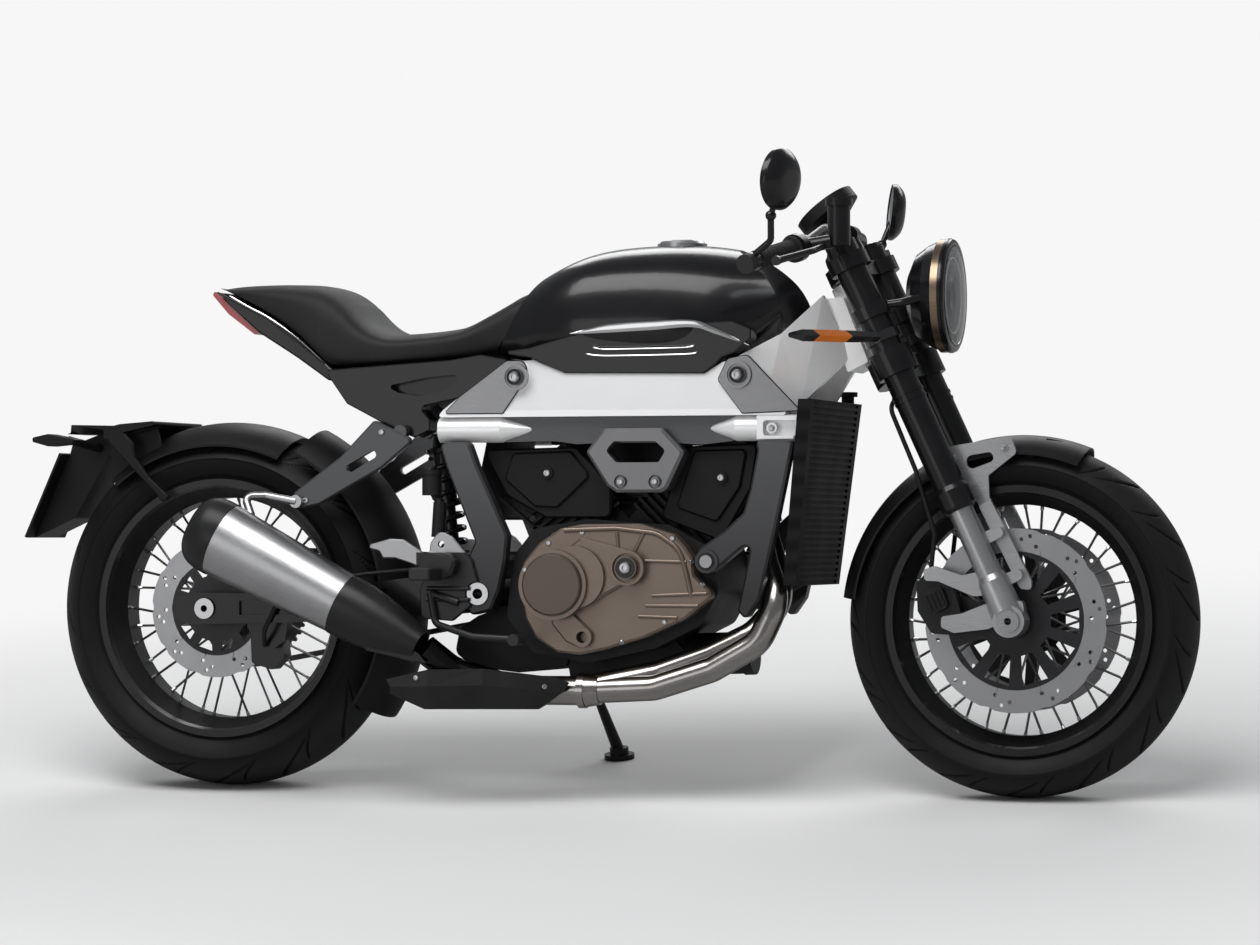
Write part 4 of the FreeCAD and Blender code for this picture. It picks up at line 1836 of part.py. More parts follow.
rear_wheel()
front_wheel()
drive_chain()
swingarm()
axles()
shock()
rear_caliper()
frame_beams()
frame_bands()
legs()
hanger_plates()
crankcase()
air_box()
cylinders()
cylinder_covers()
clutch_cover()
generator_cover()
headers()
exhaust_shield()
muffler()
radiator()
coolant_hoses()
fuel_tank()
fuel_cap()
seat()
tail_cowl()
side_panels()
tail_lamp()
rear_guards()
number_plate()
rear_signals()
footrests()
rear_hose()
triple_clamps()
fork_tubes()
fork_sliders()
front_axle()
calipers()
front_guard()
guard_stays()
headlight()
handlebar()
grips()
hand_controls()
mirrors()
instrument()
front_signals()
brake_hoses()
side_stand()

doc.recompute()

for thing in doc.Objects:
    if "Invalid" in thing.State or "Error" in thing.State:
        raise RuntimeError(f"{thing.Label} did not build: {thing.State}")
for piece in subparts:
    if piece.Shape.isNull() or not piece.Shape.isValid():
        raise RuntimeError(f"{piece.Label} has no valid shape")

os.makedirs("parts", exist_ok=True)
for piece in subparts:
    piece.Shape.exportStep(f"parts/{piece.Label}.step")
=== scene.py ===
import json
import math

import bpy
import numpy as np
from bpy.props import FloatProperty, FloatVectorProperty, IntProperty, PointerProperty
from mathutils import Matrix, Vector
from mathutils.bvhtree import BVHTree


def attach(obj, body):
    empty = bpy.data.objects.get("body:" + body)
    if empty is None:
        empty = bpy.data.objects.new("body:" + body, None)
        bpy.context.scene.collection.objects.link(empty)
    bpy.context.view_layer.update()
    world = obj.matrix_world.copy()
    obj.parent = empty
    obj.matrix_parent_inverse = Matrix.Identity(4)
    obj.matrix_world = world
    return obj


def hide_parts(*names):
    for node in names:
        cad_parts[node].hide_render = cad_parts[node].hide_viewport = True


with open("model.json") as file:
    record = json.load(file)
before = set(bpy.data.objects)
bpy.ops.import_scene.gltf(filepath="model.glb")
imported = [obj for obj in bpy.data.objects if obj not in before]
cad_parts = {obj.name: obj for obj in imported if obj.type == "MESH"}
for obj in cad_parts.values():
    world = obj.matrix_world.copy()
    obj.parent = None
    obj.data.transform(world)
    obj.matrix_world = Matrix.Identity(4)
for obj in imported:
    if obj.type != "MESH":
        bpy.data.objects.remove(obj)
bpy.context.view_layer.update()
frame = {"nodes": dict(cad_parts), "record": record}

bl_info = {
    "name": "Cafe racer dressing",
    "version": (1, 0, 0),
    "blender": (4, 5, 0),
    "location": "View3D > Sidebar > Cafe racer",
    "description": "Finishes and fine pieces for a parked cafe racer motorcycle",
    "category": "Object",
}

LEAN = math.radians(9)
BIKE_ACROSS = np.array([0, math.cos(LEAN), -math.sin(LEAN)])
BIKE_UP = np.array([0, math.sin(LEAN), math.cos(LEAN)])


# Places: drawn in millimetres on the upright motorcycle, then leaned on its stand

def parked(points):
    """Millimetres of the upright motorcycle to metres where it leans, as whole arrays."""
    points = np.asarray(points, float)
    x, y, z = points[..., 0], points[..., 1], points[..., 2]
    return np.stack([x - 680.2 + 0 * y, y * math.cos(LEAN) + z * math.sin(LEAN) - 160,
                     z * math.cos(LEAN) - y * math.sin(LEAN) + 1.28], -1) / 1000


def upright(points):
    """The way back: metres where it leans to millimetres of the upright motorcycle."""
    points = np.asarray(points, float) * 1000 + np.array([680.2, 160, -1.28])
    x, y, z = points[..., 0], points[..., 1], points[..., 2]
    return np.stack([x, y * math.cos(LEAN) - z * math.sin(LEAN),
                     y * math.sin(LEAN) + z * math.cos(LEAN)], -1)


def steer_point(reach, forwards, y):
    """A place along the steering axis and square to it."""
    return np.array([1399.1 - 0.4195 * reach + 0.9078 * forwards, y,
                     285.7 + 0.9078 * reach + 0.4195 * forwards])


def unit(vectors):
    vectors = np.asarray(vectors, float)
    return vectors / np.maximum(np.linalg.norm(vectors, axis=-1, keepdims=True), 1e-12)


# Surfaces: whole grids of points, closed into skins

class Skin:
    """Gathers grids and fans of points into one mesh; each closed part is turned to face outwards."""

    def __init__(self):
        self.spots, self.faces, self.size = [], [], 0

    def add(self, points, polygons):
        points = np.asarray(points, float).reshape(-1, 3)
        volume = 0.0
        for polygon in polygons:
            corner = points[polygon]
            for k in range(1, polygon.shape[1] - 1):
                volume += np.einsum("ij,ij->", corner[:, 0], np.cross(corner[:, k], corner[:, k + 1]))
        for polygon in polygons:
            turned = polygon[:, ::-1] if volume < 0 else polygon
            self.faces.append(turned + self.size)
        self.spots.append(points)
        self.size += len(points)
        return self

    def grid(self, points, around=True, along=False, ends=True):
        """Quads between rows of points; rows close round, and the end rows close on their middles."""
        points = np.asarray(points, float)
        rows, columns = points.shape[:2]
        index = np.arange(rows * columns).reshape(rows, columns)
        low = index if along else index[:-1]
        high = np.roll(index, -1, 0) if along else index[1:]
        if around:
            low_next, high_next = np.roll(low, -1, 1), np.roll(high, -1, 1)
        else:
            low, low_next, high, high_next = low[:, :-1], low[:, 1:], high[:, :-1], high[:, 1:]
        quads = np.stack([low, low_next, high_next, high], -1).reshape(-1, 4)
        polygons = [quads]
        spots = points.reshape(-1, 3)
        if ends and around and not along:
            middles = np.stack([points[0].mean(0), points[-1].mean(0)])
            first, last = len(spots), len(spots) + 1
            spots = np.vstack([spots, middles])
            start, stop = index[0], index[-1]
            fans = np.stack([np.roll(start, -1), start, np.full(columns, first)], -1)
            caps = np.stack([stop, np.roll(stop, -1), np.full(columns, last)], -1)
            polygons.append(np.vstack([fans, caps]))
        return self.add(spots, polygons)

    def copies(self, points, polygons, places, turns, sizes):
        """One small closed form put at many places: point = place + size * (turn . template)."""
        places, turns = np.asarray(places, float), np.asarray(turns, float)
        sizes = np.asarray(sizes, float).reshape(-1, 1, 1) * np.ones((len(places), 1, 1))
        spread = places[:, None] + sizes * np.einsum("nij,kj->nki", turns, points)
        step = len(points) * np.arange(len(places))[:, None, None]
        return self.add(spread, [(faces[None] + step).reshape(-1, faces.shape[1]) for faces in polygons])

    def piece(self, name, finish, body, slot, smooth=35.0):
        """The finished object, with its place in its mesh, riding on a body."""
        spots = np.vstack(self.spots)
        mesh = bpy.data.meshes.new(name)
        loops = np.concatenate([polygon.ravel() for polygon in self.faces]).astype(np.int32)
        totals = np.concatenate([np.full(len(p), p.shape[1]) for p in self.faces]).astype(np.int32)
        starts = np.concatenate([[0], np.cumsum(totals)[:-1]]).astype(np.int32)
        mesh.vertices.add(len(spots))
        mesh.vertices.foreach_set("co", parked(spots).astype(np.float32).ravel())
        mesh.loops.add(len(loops))
        mesh.loops.foreach_set("vertex_index", loops)
        mesh.polygons.add(len(totals))
        mesh.polygons.foreach_set("loop_start", starts)
        mesh.polygons.foreach_set("loop_total", totals)
        mesh.update(calc_edges=True)
        mesh.validate()
        mesh.shade_smooth()
        thing = bpy.data.objects.new(name, mesh)
        bpy.context.scene.collection.objects.link(thing)
        mesh.materials.append(finish)
        mesh.set_sharp_from_angle(angle=math.radians(smooth))
        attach(thing, body)
        return thing


def frame_about(direction):
    """Two unit vectors square to a direction and to each other."""
    direction = unit(direction)
    guide = np.where(np.abs(direction[..., 1:2]) > 0.9, [[1.0, 0, 0]], [[0, 1.0, 0]]).reshape(direction.shape)
    side = unit(np.cross(direction, guide))
    return side, np.cross(direction, side)


def tube_rows(path, radius, sides=12, closed=False):
    """Circles carried along a path: point = path + radius * (cos v * side + sin v * other)."""
    path = np.asarray(path, float)
    ahead, behind = np.roll(path, -1, 0), np.roll(path, 1, 0)
    if not closed:
        ahead[-1], behind[0] = path[-1], path[0]
    side, other = frame_about(ahead - behind)
    angle = 2 * np.pi * np.arange(sides) / sides
    radius = np.broadcast_to(np.asarray(radius, float).reshape(-1, 1, 1), (len(path), 1, 1))
    return path[:, None] + radius * (np.cos(angle)[None, :, None] * side[:, None]
                                     + np.sin(angle)[None, :, None] * other[:, None])


def lathe_rows(profile, centre, axis, steps=48):
    """A profile turned round an axis: point = centre + a * axis + r * (cos v * side + sin v * other)."""
    profile = np.asarray(profile, float)
    axis = unit(axis)
    side, other = frame_about(axis)
    angle = 2 * np.pi * np.arange(steps) / steps
    spoke = np.cos(angle)[:, None] * side + np.sin(angle)[:, None] * other
    return np.asarray(centre, float) + profile[:, None, :1] * axis + profile[:, None, 1:] * spoke[None]


def smooth_path(points, count, closed=False):
    """A Catmull-Rom line through its points, sampled evenly in its parameter."""
    points = np.asarray(points, float)
    last = len(points) if closed else len(points) - 1
    at = np.linspace(0, last, count, endpoint=not closed)
    cell = np.minimum(at.astype(int), last - 1)
    t = (at - cell)[:, None]
    picks = [cell - 1, cell, cell + 1, cell + 2]
    if closed:
        picks = [pick % len(points) for pick in picks]
    else:
        picks = [np.clip(pick, 0, len(points) - 1) for pick in picks]
    a, b, c, d = [points[pick] for pick in picks]
    square, cube = 2 * a - 5 * b + 4 * c - d, 3 * b - a - 3 * c + d
    return 0.5 * (2 * b + (c - a) * t + square * t ** 2 + cube * t ** 3)


def strip_rows(edge_a, edge_b, lift, thickness, steps=6):
    """A thin ruled strip between two edges, crowned by lift: point = mix of the edges + out * crown."""
    edge_a, edge_b = np.asarray(edge_a, float), np.asarray(edge_b, float)
    share = np.linspace(0, 1, steps)
    face = edge_a[:, None] * (1 - share)[None, :, None] + edge_b[:, None] * share[None, :, None]
    out = np.sign(edge_a[:, 1].mean()) * np.array([0, 1.0, 0])
    crown = face + out * (lift * 4 * share * (1 - share))[None, :, None] + out * 0.5
    back = face[:, ::-1] - out * thickness
    return np.concatenate([crown, back], 1)


def landing(node, x, z, sign=-1, offset=0.0):
    """The outer side's place and outward direction on a node, seen square from the side."""
    surface = LANDINGS.get(node)
    if surface is None:
        mesh = frame["nodes"][node].data
        spots = np.empty(len(mesh.vertices) * 3, np.float32)
        mesh.vertices.foreach_get("co", spots)
        mesh.calc_loop_triangles()
        corners = np.empty(len(mesh.loop_triangles) * 3, np.int32)
        mesh.loop_triangles.foreach_get("vertices", corners)
        surface = BVHTree.FromPolygons([tuple(p) for p in spots.reshape(-1, 3)],
                                       [tuple(int(k) for k in c) for c in corners.reshape(-1, 3)])
        LANDINGS[node] = surface
    start = parked([x, sign * 600.0, z])
    found, normal = surface.ray_cast(Vector(start), Vector(-sign * BIKE_ACROSS))[:2]
    if found is None:
        raise RuntimeError("nothing of %s lies at %.0f, %.0f" % (node, x, z))
    spot = upright(np.array(found))
    out = np.array([normal.x, *(np.array([BIKE_ACROSS @ np.array(normal), BIKE_UP @ np.array(normal)]))])
    if out[1] * sign < 0:
        out = -out
    return spot + out * offset, out


LANDINGS = {}


# Finishes: shared effects are node groups, shaders stay in each material

def new_group(name, inputs, outputs):
    group = bpy.data.node_groups.new(name, "ShaderNodeTree")
    for label, kind, value in inputs:
        socket = group.interface.new_socket(label, in_out="INPUT", socket_type=kind)
        if value is not None:
            socket.default_value = value
    for label, kind in outputs:
        group.interface.new_socket(label, in_out="OUTPUT", socket_type=kind)
    return group, group.nodes.new("NodeGroupInput"), group.nodes.new("NodeGroupOutput")


def math_node(tree, operation, first, second=0.5, clamp=False):
    node = tree.nodes.new("ShaderNodeMath")
    node.operation = operation
    node.use_clamp = clamp
    for socket, value in ((node.inputs[0], first), (node.inputs[1], second)):
        if isinstance(value, (int, float)):
            socket.default_value = value
        else:
            tree.links.new(value, socket)
    return node.outputs[0]


def noise(group, vector, scale, detail=2.0):
    node = group.nodes.new("ShaderNodeTexNoise")
    group.links.new(vector, node.inputs["Vector"])
    for label, value in (("Scale", scale), ("Detail", detail)):
        if isinstance(value, (int, float)):
            node.inputs[label].default_value = value
        else:
            group.links.new(value, node.inputs[label])
    return node.outputs["Fac"]


def effect_group(name, scale):
    """A group that takes a place and a scale, and gives a tone about one half and a height."""
    return new_group(name, [("Vector", "NodeSocketVector", None), ("Scale", "NodeSocketFloat", scale)],
                     [("Tone", "NodeSocketFloat"), ("Height", "NodeSocketFloat")])


def mixed_tone(group, end, first, share, second, height):
    """Tone = first * share + second * (1 - share), with the height beside it."""
    tone = math_node(group, "ADD", math_node(group, "MULTIPLY", first, share),
                     math_node(group, "MULTIPLY", second, round(1 - share, 6)))
    group.links.new(tone, end.inputs["Tone"])
    group.links.new(height, end.inputs["Height"])
    return group


def grain_group():
    """Fine grain and broad mottling: two noises added."""
    group, start, end = effect_group("surface_grain", 900.0)
    fine = noise(group, start.outputs["Vector"], start.outputs["Scale"])
    return mixed_tone(group, end, fine, 0.4, noise(group, start.outputs["Vector"], 14.0, 4.0), fine)


def brushed_group():
    """Brushed metal: noise drawn out along one direction, by dividing that axis of the vector."""
    group, start, end = effect_group("brushed_lines", 60.0)
    stretch = group.nodes.new("ShaderNodeMapping")
    stretch.inputs["Scale"].default_value = (0.6, 24.0, 24.0)
    group.links.new(start.outputs["Vector"], stretch.inputs["Vector"])
    lines = noise(group, stretch.outputs["Vector"], start.outputs["Scale"], 3.0)
    return mixed_tone(group, end, lines, 0.6, noise(group, start.outputs["Vector"], 9.0), lines)


def leather_group():
    """Leather-like vinyl: cells by Voronoi distance to edge give the grain, noise the wear."""
    group, start, end = effect_group("cover_grain", 480.0)
    cells = group.nodes.new("ShaderNodeTexVoronoi")
    cells.feature = "DISTANCE_TO_EDGE"
    group.links.new(start.outputs["Vector"], cells.inputs["Vector"])
    group.links.new(start.outputs["Scale"], cells.inputs["Scale"])
    pits = math_node(group, "MINIMUM", math_node(group, "MULTIPLY", cells.outputs["Distance"], 5.0), 1.0)
    return mixed_tone(group, end, pits, 0.35, noise(group, start.outputs["Vector"], 11.0, 5.0), pits)


def axle_group():
    """Distance from an axle's line: the length of (point - centre) less its part along the axle; with
    the point's distances across, up and ahead of the centre in metres."""
    group, start, end = new_group(
        "from_axle", [("Vector", "NodeSocketVector", None), ("Centre", "NodeSocketVector", (0, 0, 0))],
        [("Distance", "NodeSocketFloat"), ("Across", "NodeSocketFloat"), ("Up", "NodeSocketFloat"),
         ("Ahead", "NodeSocketFloat")])
    shift = group.nodes.new("ShaderNodeVectorMath")
    shift.operation = "SUBTRACT"
    group.links.new(start.outputs["Vector"], shift.inputs[0])
    group.links.new(start.outputs["Centre"], shift.inputs[1])
    dots = []
    for axis in (BIKE_ACROSS, BIKE_UP, (1.0, 0.0, 0.0)):
        dot = group.nodes.new("ShaderNodeVectorMath")
        dot.operation = "DOT_PRODUCT"
        dot.inputs[1].default_value = tuple(axis)
        group.links.new(shift.outputs[0], dot.inputs[0])
        dots.append(dot.outputs["Value"])
    square = math_node(group, "ADD", math_node(group, "MULTIPLY", dots[1], dots[1]),
                       math_node(group, "MULTIPLY", dots[2], dots[2]))
    group.links.new(math_node(group, "SQRT", square, 0.0), end.inputs["Distance"])
    group.links.new(math_node(group, "ABSOLUTE", dots[0], 0.0), end.inputs["Across"])
    group.links.new(dots[1], end.inputs["Up"])
    group.links.new(dots[2], end.inputs["Ahead"])
    return group


def groups():
    if not GROUPS:
        GROUPS.update(grain=grain_group(), brushed=brushed_group(), leather=leather_group(),
                      axle=axle_group())
    return GROUPS


GROUPS = {}
FINISHES = {}


class Finish:
    """A material being built: object coordinates, one effect group, and the Principled shader."""

    def __init__(self, name, effect="grain", scale=900.0, turn=(0, 0, 0)):
        self.material = bpy.data.materials.new(name)
        self.material.use_nodes = True
        self.tree = self.material.node_tree
        self.shader = self.tree.nodes["Principled BSDF"]
        self.where = self.tree.nodes.new("ShaderNodeTexCoord").outputs["Object"]
        mapping = self.tree.nodes.new("ShaderNodeMapping")
        mapping.inputs["Rotation"].default_value = turn
        self.tree.links.new(self.where, mapping.inputs["Vector"])
        self.effect = self.tree.nodes.new("ShaderNodeGroup")
        self.effect.node_tree = groups()[effect]
        self.tree.links.new(mapping.outputs["Vector"], self.effect.inputs["Vector"])
        self.effect.inputs["Scale"].default_value = scale
        FINISHES[name] = self.material

    def ramp(self, value, low, high, first, second):
        """A straight change from one value to another between two marks."""
        node = self.tree.nodes.new("ShaderNodeMapRange")
        self.tree.links.new(value, node.inputs["Value"])
        for label, number in (("From Min", low), ("From Max", high), ("To Min", first), ("To Max", second)):
            node.inputs[label].default_value = number
        return node.outputs["Result"]

    def blend(self, value, first, second):
        """A mix of two colours by a value; a colour may be a link."""
        node = self.tree.nodes.new("ShaderNodeMix")
        node.data_type = "RGBA"
        self.tree.links.new(value, node.inputs["Factor"])
        for socket, colour in ((node.inputs[6], first), (node.inputs[7], second)):
            if isinstance(colour, bpy.types.NodeSocket):
                self.tree.links.new(colour, socket)
            else:
                socket.default_value = (*tuple(colour)[:3], 1.0)
        return node.outputs[2]

    def colour(self, colour, spread=0.25):
        """The base colour, darker and lighter about its value with the effect's tone."""
        low = tuple(c * (1 - spread) for c in tuple(colour)[:3])
        high = tuple(min(1.0, c * (1 + spread)) for c in tuple(colour)[:3])
        return self.blend(self.ramp(self.effect.outputs["Tone"], 0.3, 0.7, 0, 1), low, high)

    def surface(self, colour, metallic=0.0, rough=0.5, vary=0.08, spread=0.25, bump=0.0, depth=0.0002,
                coat=0.0, **sockets):
        """Sets the shader: colour and roughness vary with the tone, the height gives the bump."""
        link = self.tree.links.new
        shade = colour if isinstance(colour, bpy.types.NodeSocket) else self.colour(colour, spread)
        link(shade, self.shader.inputs["Base Color"])
        if isinstance(metallic, bpy.types.NodeSocket):
            link(metallic, self.shader.inputs["Metallic"])
        else:
            self.shader.inputs["Metallic"].default_value = metallic
        link(self.ramp(self.effect.outputs["Tone"], 0.3, 0.7, max(0.0, rough - vary), rough + vary),
             self.shader.inputs["Roughness"])
        self.shader.inputs["Coat Weight"].default_value = coat
        for label, value in sockets.items():
            self.shader.inputs[label.replace("_", " ")].default_value = value
        if bump:
            node = self.tree.nodes.new("ShaderNodeBump")
            node.inputs["Strength"].default_value = bump
            node.inputs["Distance"].default_value = depth
            link(self.effect.outputs["Height"], node.inputs["Height"])
            link(node.outputs["Normal"], self.shader.inputs["Normal"])
        return self

    def measure(self, centre=(0.0, 0.0, 0.0)):
        """Distances from a centre: round its axle, and across, up and ahead of it."""
        node = self.tree.nodes.new("ShaderNodeGroup")
        node.node_tree = groups()["axle"]
        self.tree.links.new(self.where, node.inputs["Vector"])
        node.inputs["Centre"].default_value = tuple(parked(centre))
        return node.outputs

    def from_axle(self, centre):
        """Distance from a wheel's axle, for finishes that change from hub to rim."""
        return self.measure(centre)["Distance"]

    def tread(self, colour, axle, radius, crown):
        """Rubber with a painted sheen that makes the crown paler and painted shade that makes the grooves
        near
        black: depth = arc - distance, with arc = radius - crown + sqrt(crown^2 - across^2)."""
        place = self.measure(axle)
        square = math_node(self.tree, "SUBTRACT", crown ** 2,
                           math_node(self.tree, "MULTIPLY", place["Across"], place["Across"]), True)
        arc = math_node(self.tree, "ADD", math_node(self.tree, "SQRT", square, 0.0), radius - crown)
        depth = math_node(self.tree, "SUBTRACT", arc, place["Distance"])
        # painted sheen: the crown is made paler than the walls, standing in for light caught along the tread
        crowned = self.ramp(place["Distance"], radius - 0.045, radius - 0.02, 0, 1)
        crown_sheen = tuple(c * 2.4 for c in colour)
        pale = self.blend(crowned, self.colour(colour, 0.2), self.colour(crown_sheen, 0.25))
        # painted shade: the grooves are near black, standing in for the shade inside them
        sunk = self.both(self.ramp(depth, 0.0008, 0.002, 0, 1), self.ramp(depth, 0.0045, 0.006, 1, 0))
        return self.surface(self.blend(sunk, pale, (0.0015, 0.0015, 0.0015)), rough=0.56, vary=0.1, bump=0.25,
                            Specular_IOR_Level=0.22)

    def beyond(self, value, mark, soft=0.4):
        """One beyond a mark in millimetres and nothing before it."""
        return self.ramp(value, (mark - soft) / 1000, (mark + soft) / 1000, 0, 1)

    def either(self, first, second):
        """The larger of two masks."""
        return math_node(self.tree, "MAXIMUM", first, second)

    def both(self, first, second):
        """The product of two masks."""
        return math_node(self.tree, "MULTIPLY", first, second)


LEG_SIDE = 150.0
LEG_BOLT = (921.0, 0, 399.0)
LUG_BOLTS = ((579, 714), (974, 714))
RIM_WELL = 192.0
RIM_BEAD = 221.0
SPOKES = 36
CHAIN_PITCH = 15.875
CHAIN_Y = 104.0
REAR_TEETH, FRONT_TEETH = 41, 16
LAMP_SPOT = steer_point(581, 88.6, 0)
DIAL_SPOT = steer_point(775, 18, 0)
REAR_AXLE = (0.0, 0.0, 315.0)
FRONT_AXLE = (1430.0, 0.0, 300.0)
MUFFLER_TURN = (0.0, math.radians(-26.6), 0.0)


PLAIN_FINISHES = (
    ("hose_rubber", "grain", 1100, (0.01, 0.01, 0.011), dict(rough=0.5, bump=0.15, Specular_IOR_Level=0.3)),
    ("grip_rubber", "grain", 1500, (0.014, 0.014, 0.015), dict(rough=0.7, bump=0.4)),
    ("chain_metal", "grain", 600, (0.12, 0.115, 0.11), dict(metallic=0.9, rough=0.42, bump=0.1)),
    ("axle_metal", "brushed", 900, (0.55, 0.55, 0.56), dict(metallic=1.0, rough=0.25, spread=0.1)),
    ("black_satin", "grain", 1300, (0.007, 0.007, 0.008),
     dict(metallic=0.1, rough=0.3, bump=0.06, coat=0.3, Coat_Roughness=0.12, Specular_IOR_Level=0.3)),
    ("engine_casting", "grain", 900, (0.011, 0.011, 0.012),
     dict(metallic=0.2, rough=0.46, spread=0.35, bump=0.5, depth=0.0004, Specular_IOR_Level=0.3)),
    ("moulded_black", "grain", 2000, (0.007, 0.007, 0.0075),
     dict(rough=0.48, bump=0.2, Specular_IOR_Level=0.25)),
    ("exhaust_dark", "grain", 1500, (0.02, 0.02, 0.021),
     dict(metallic=0.3, rough=0.36, bump=0.1, Specular_IOR_Level=0.35)),
    # painted shade: the reflector's metal is made near black, standing in for the shade inside the lamp
    ("lamp_inner", "grain", 700, (0.035, 0.035, 0.038), dict(metallic=1.0, rough=0.18, spread=0.2)),
    ("paint_black", "grain", 1800, "paint",
     dict(rough=0.25, vary=0.02, spread=0.2, coat=0.35, Coat_Roughness=0.1, Specular_IOR_Level=0.3)),
    ("satin_alloy", "brushed", 50, (0.5, 0.5, 0.51), dict(metallic=0.9, rough=0.32, spread=0.1, bump=0.05)),
    ("polished_trim", "brushed", 30, (0.72, 0.72, 0.73), dict(metallic=1.0, rough=0.12, spread=0.05)),
    ("seat_vinyl", "leather", 520, "seat",
     dict(rough=0.6, vary=0.08, spread=0.3, bump=0.35, depth=0.0004, Specular_IOR_Level=0.35)),
    ("lens_red", "grain", 900, "tail_lens", dict(rough=0.12, vary=0.03, coat=1.0)),
    ("lens_amber", "grain", 900, "signal_lens", dict(rough=0.14, vary=0.03, coat=1.0)),
    ("lamp_glass", "grain", 300, (0.6, 0.62, 0.63),
     dict(rough=0.03, vary=0.02, spread=0.02, Transmission_Weight=1.0, IOR=1.25)),
    ("mirror_glass", "grain", 300, (0.55, 0.57, 0.6), dict(metallic=1.0, rough=0.03, vary=0.01, spread=0.03)),
    ("ring_bronze", "brushed", 60, "lamp_ring", dict(metallic=0.95, rough=0.28, spread=0.12, bump=0.05)),
    ("dial_black", "grain", 800, (0.01, 0.011, 0.013), dict(rough=0.5, Specular_IOR_Level=0.3)),
    ("dial_marks", "grain", 800, (0.75, 0.77, 0.78), dict(rough=0.5)),
    ("plate_white", "grain", 600, (0.62, 0.63, 0.62), dict(rough=0.42, spread=0.04, bump=0.03)))


def wheel_finishes(colours):
    """Tyres with painted shade in the grooves and a painted sheen on the crown, rims with bright spokes, and
    turned discs on dark carriers.
    """
    for end, axle, radius, crown, disc_edge in (("rear", REAR_AXLE, 0.315, 0.104, 84.0),
                                                ("front", FRONT_AXLE, 0.3, 0.066, 117.0)):
        Finish(end + "_tyre_rubber", scale=1400).tread(colours.rubber, axle, radius, crown)
        wheel = Finish(end + "_wheel_metal", scale=700)
        away = wheel.from_axle(axle)
        spokes = wheel.both(wheel.ramp(away, (RIM_WELL - 1) / 1000, RIM_WELL / 1000, 1, 0),
                            wheel.ramp(away, 0.0515, 0.0525, 0, 1))
        shade = wheel.blend(spokes, wheel.colour(colours.rim, 0.3), wheel.colour((0.5, 0.5, 0.5), 0.15))
        wheel.surface(shade, metallic=wheel.ramp(spokes, 0, 1, 0.35, 1.0), rough=0.32, bump=0.05)
        disc = Finish(end + "_disc_metal", scale=500)
        away = disc.from_axle(axle)
        band = disc.ramp(away, (disc_edge - 0.6) / 1000, disc_edge / 1000, 0, 1)
        rings = math_node(disc.tree, "SINE", math_node(disc.tree, "MULTIPLY", away, 9000.0), 0.0)
        turned = disc.blend(disc.ramp(rings, -1, 1, 0, 1), (0.36, 0.36, 0.37), (0.5, 0.5, 0.51))
        disc.surface(disc.blend(band, disc.colour((0.02, 0.02, 0.022), 0.3), turned),
                     metallic=disc.ramp(band, 0, 1, 0.3, 0.9), rough=0.36, bump=0.08)


def frame_finishes(colours):
    """The beams with their brushed lugs and painted shade round the lugs and their bolts, the bands, the legs
    with their bolts and painted shade towards their feet and round their bolts, and the rests.
    """
    silver = Finish("frame_silver", effect="brushed", scale=60)
    place = silver.measure()
    lugs = silver.both(silver.beyond(place["Across"], 158.6), silver.beyond(place["Up"], 647))
    # painted shade: the raised lugs' side walls are near black, standing in for the shade on them
    edge = silver.both(lugs, silver.ramp(place["Across"], 0.1602, 0.1606, 1, 0))
    for x, z in LUG_BOLTS:
        ring = silver.from_axle((x, 0, z))
        # painted shade: a near-black ring round each lug bolt, standing in for the shade in its recess
        groove = silver.both(silver.beyond(ring, 9.4), silver.ramp(ring, 0.0136, 0.0144, 1, 0))
        edge = silver.either(edge, groove)
    tone = silver.blend(lugs, silver.colour(colours.frame, 0.02), silver.colour(colours.lugs, 0.14))
    silver.surface(silver.blend(edge, tone, (0.01, 0.01, 0.01)), metallic=silver.ramp(lugs, 0, 1, 0.35, 0.85),
                   rough=0.3, vary=0.03, bump=0.015, coat=0.3, Coat_Roughness=0.14)
    grey = Finish("frame_grey", scale=1500)
    plate = grey.beyond(grey.measure()["Across"], LEG_SIDE + 3)
    grey.surface(grey.blend(plate, grey.colour(colours.bands, 0.12), grey.colour((0.2, 0.2, 0.205), 0.1)),
                 metallic=0.6, rough=0.36, vary=0.05, bump=0.06, coat=0.2)
    leg = Finish("leg_grey", scale=1500)
    # painted shade: the legs grow darker towards the bottom and stay lighter towards the top, standing in for
    # the light falling from above
    shade = leg.ramp(leg.measure()["Up"], 0.34, 0.6, 0, 1)
    tone = leg.blend(shade, leg.colour((0.022, 0.022, 0.024), 0.15), leg.colour(colours.bands, 0.12))
    bolt = leg.from_axle(LEG_BOLT)
    # painted shade: a near-black ring between the bolt and its eye, standing in for the shade round the bolt
    ring = leg.both(leg.beyond(bolt, 10.4), leg.ramp(bolt, 0.0148, 0.0154, 1, 0))
    tone = leg.blend(leg.ramp(bolt, 0.0104, 0.0112, 1, 0), leg.blend(ring, tone, (0.006, 0.006, 0.006)),
                     (0.34, 0.34, 0.35))
    leg.surface(tone, metallic=0.5, rough=0.36, vary=0.05, bump=0.06, coat=0.2)
    rests = Finish("footrest_two_tone", scale=1400)
    place = rests.measure()
    bright = rests.both(rests.beyond(place["Up"], 383), rests.either(
        rests.ramp(place["Ahead"], 0.4105, 0.4115, 1, 0), rests.beyond(place["Up"], 414)))
    rests.surface(rests.blend(bright, rests.colour((0.016, 0.016, 0.017), 0.2),
                              rests.colour((0.5, 0.5, 0.51), 0.1)),
                  metallic=rests.ramp(bright, 0, 1, 0.1, 0.9), rough=0.4, bump=0.12)


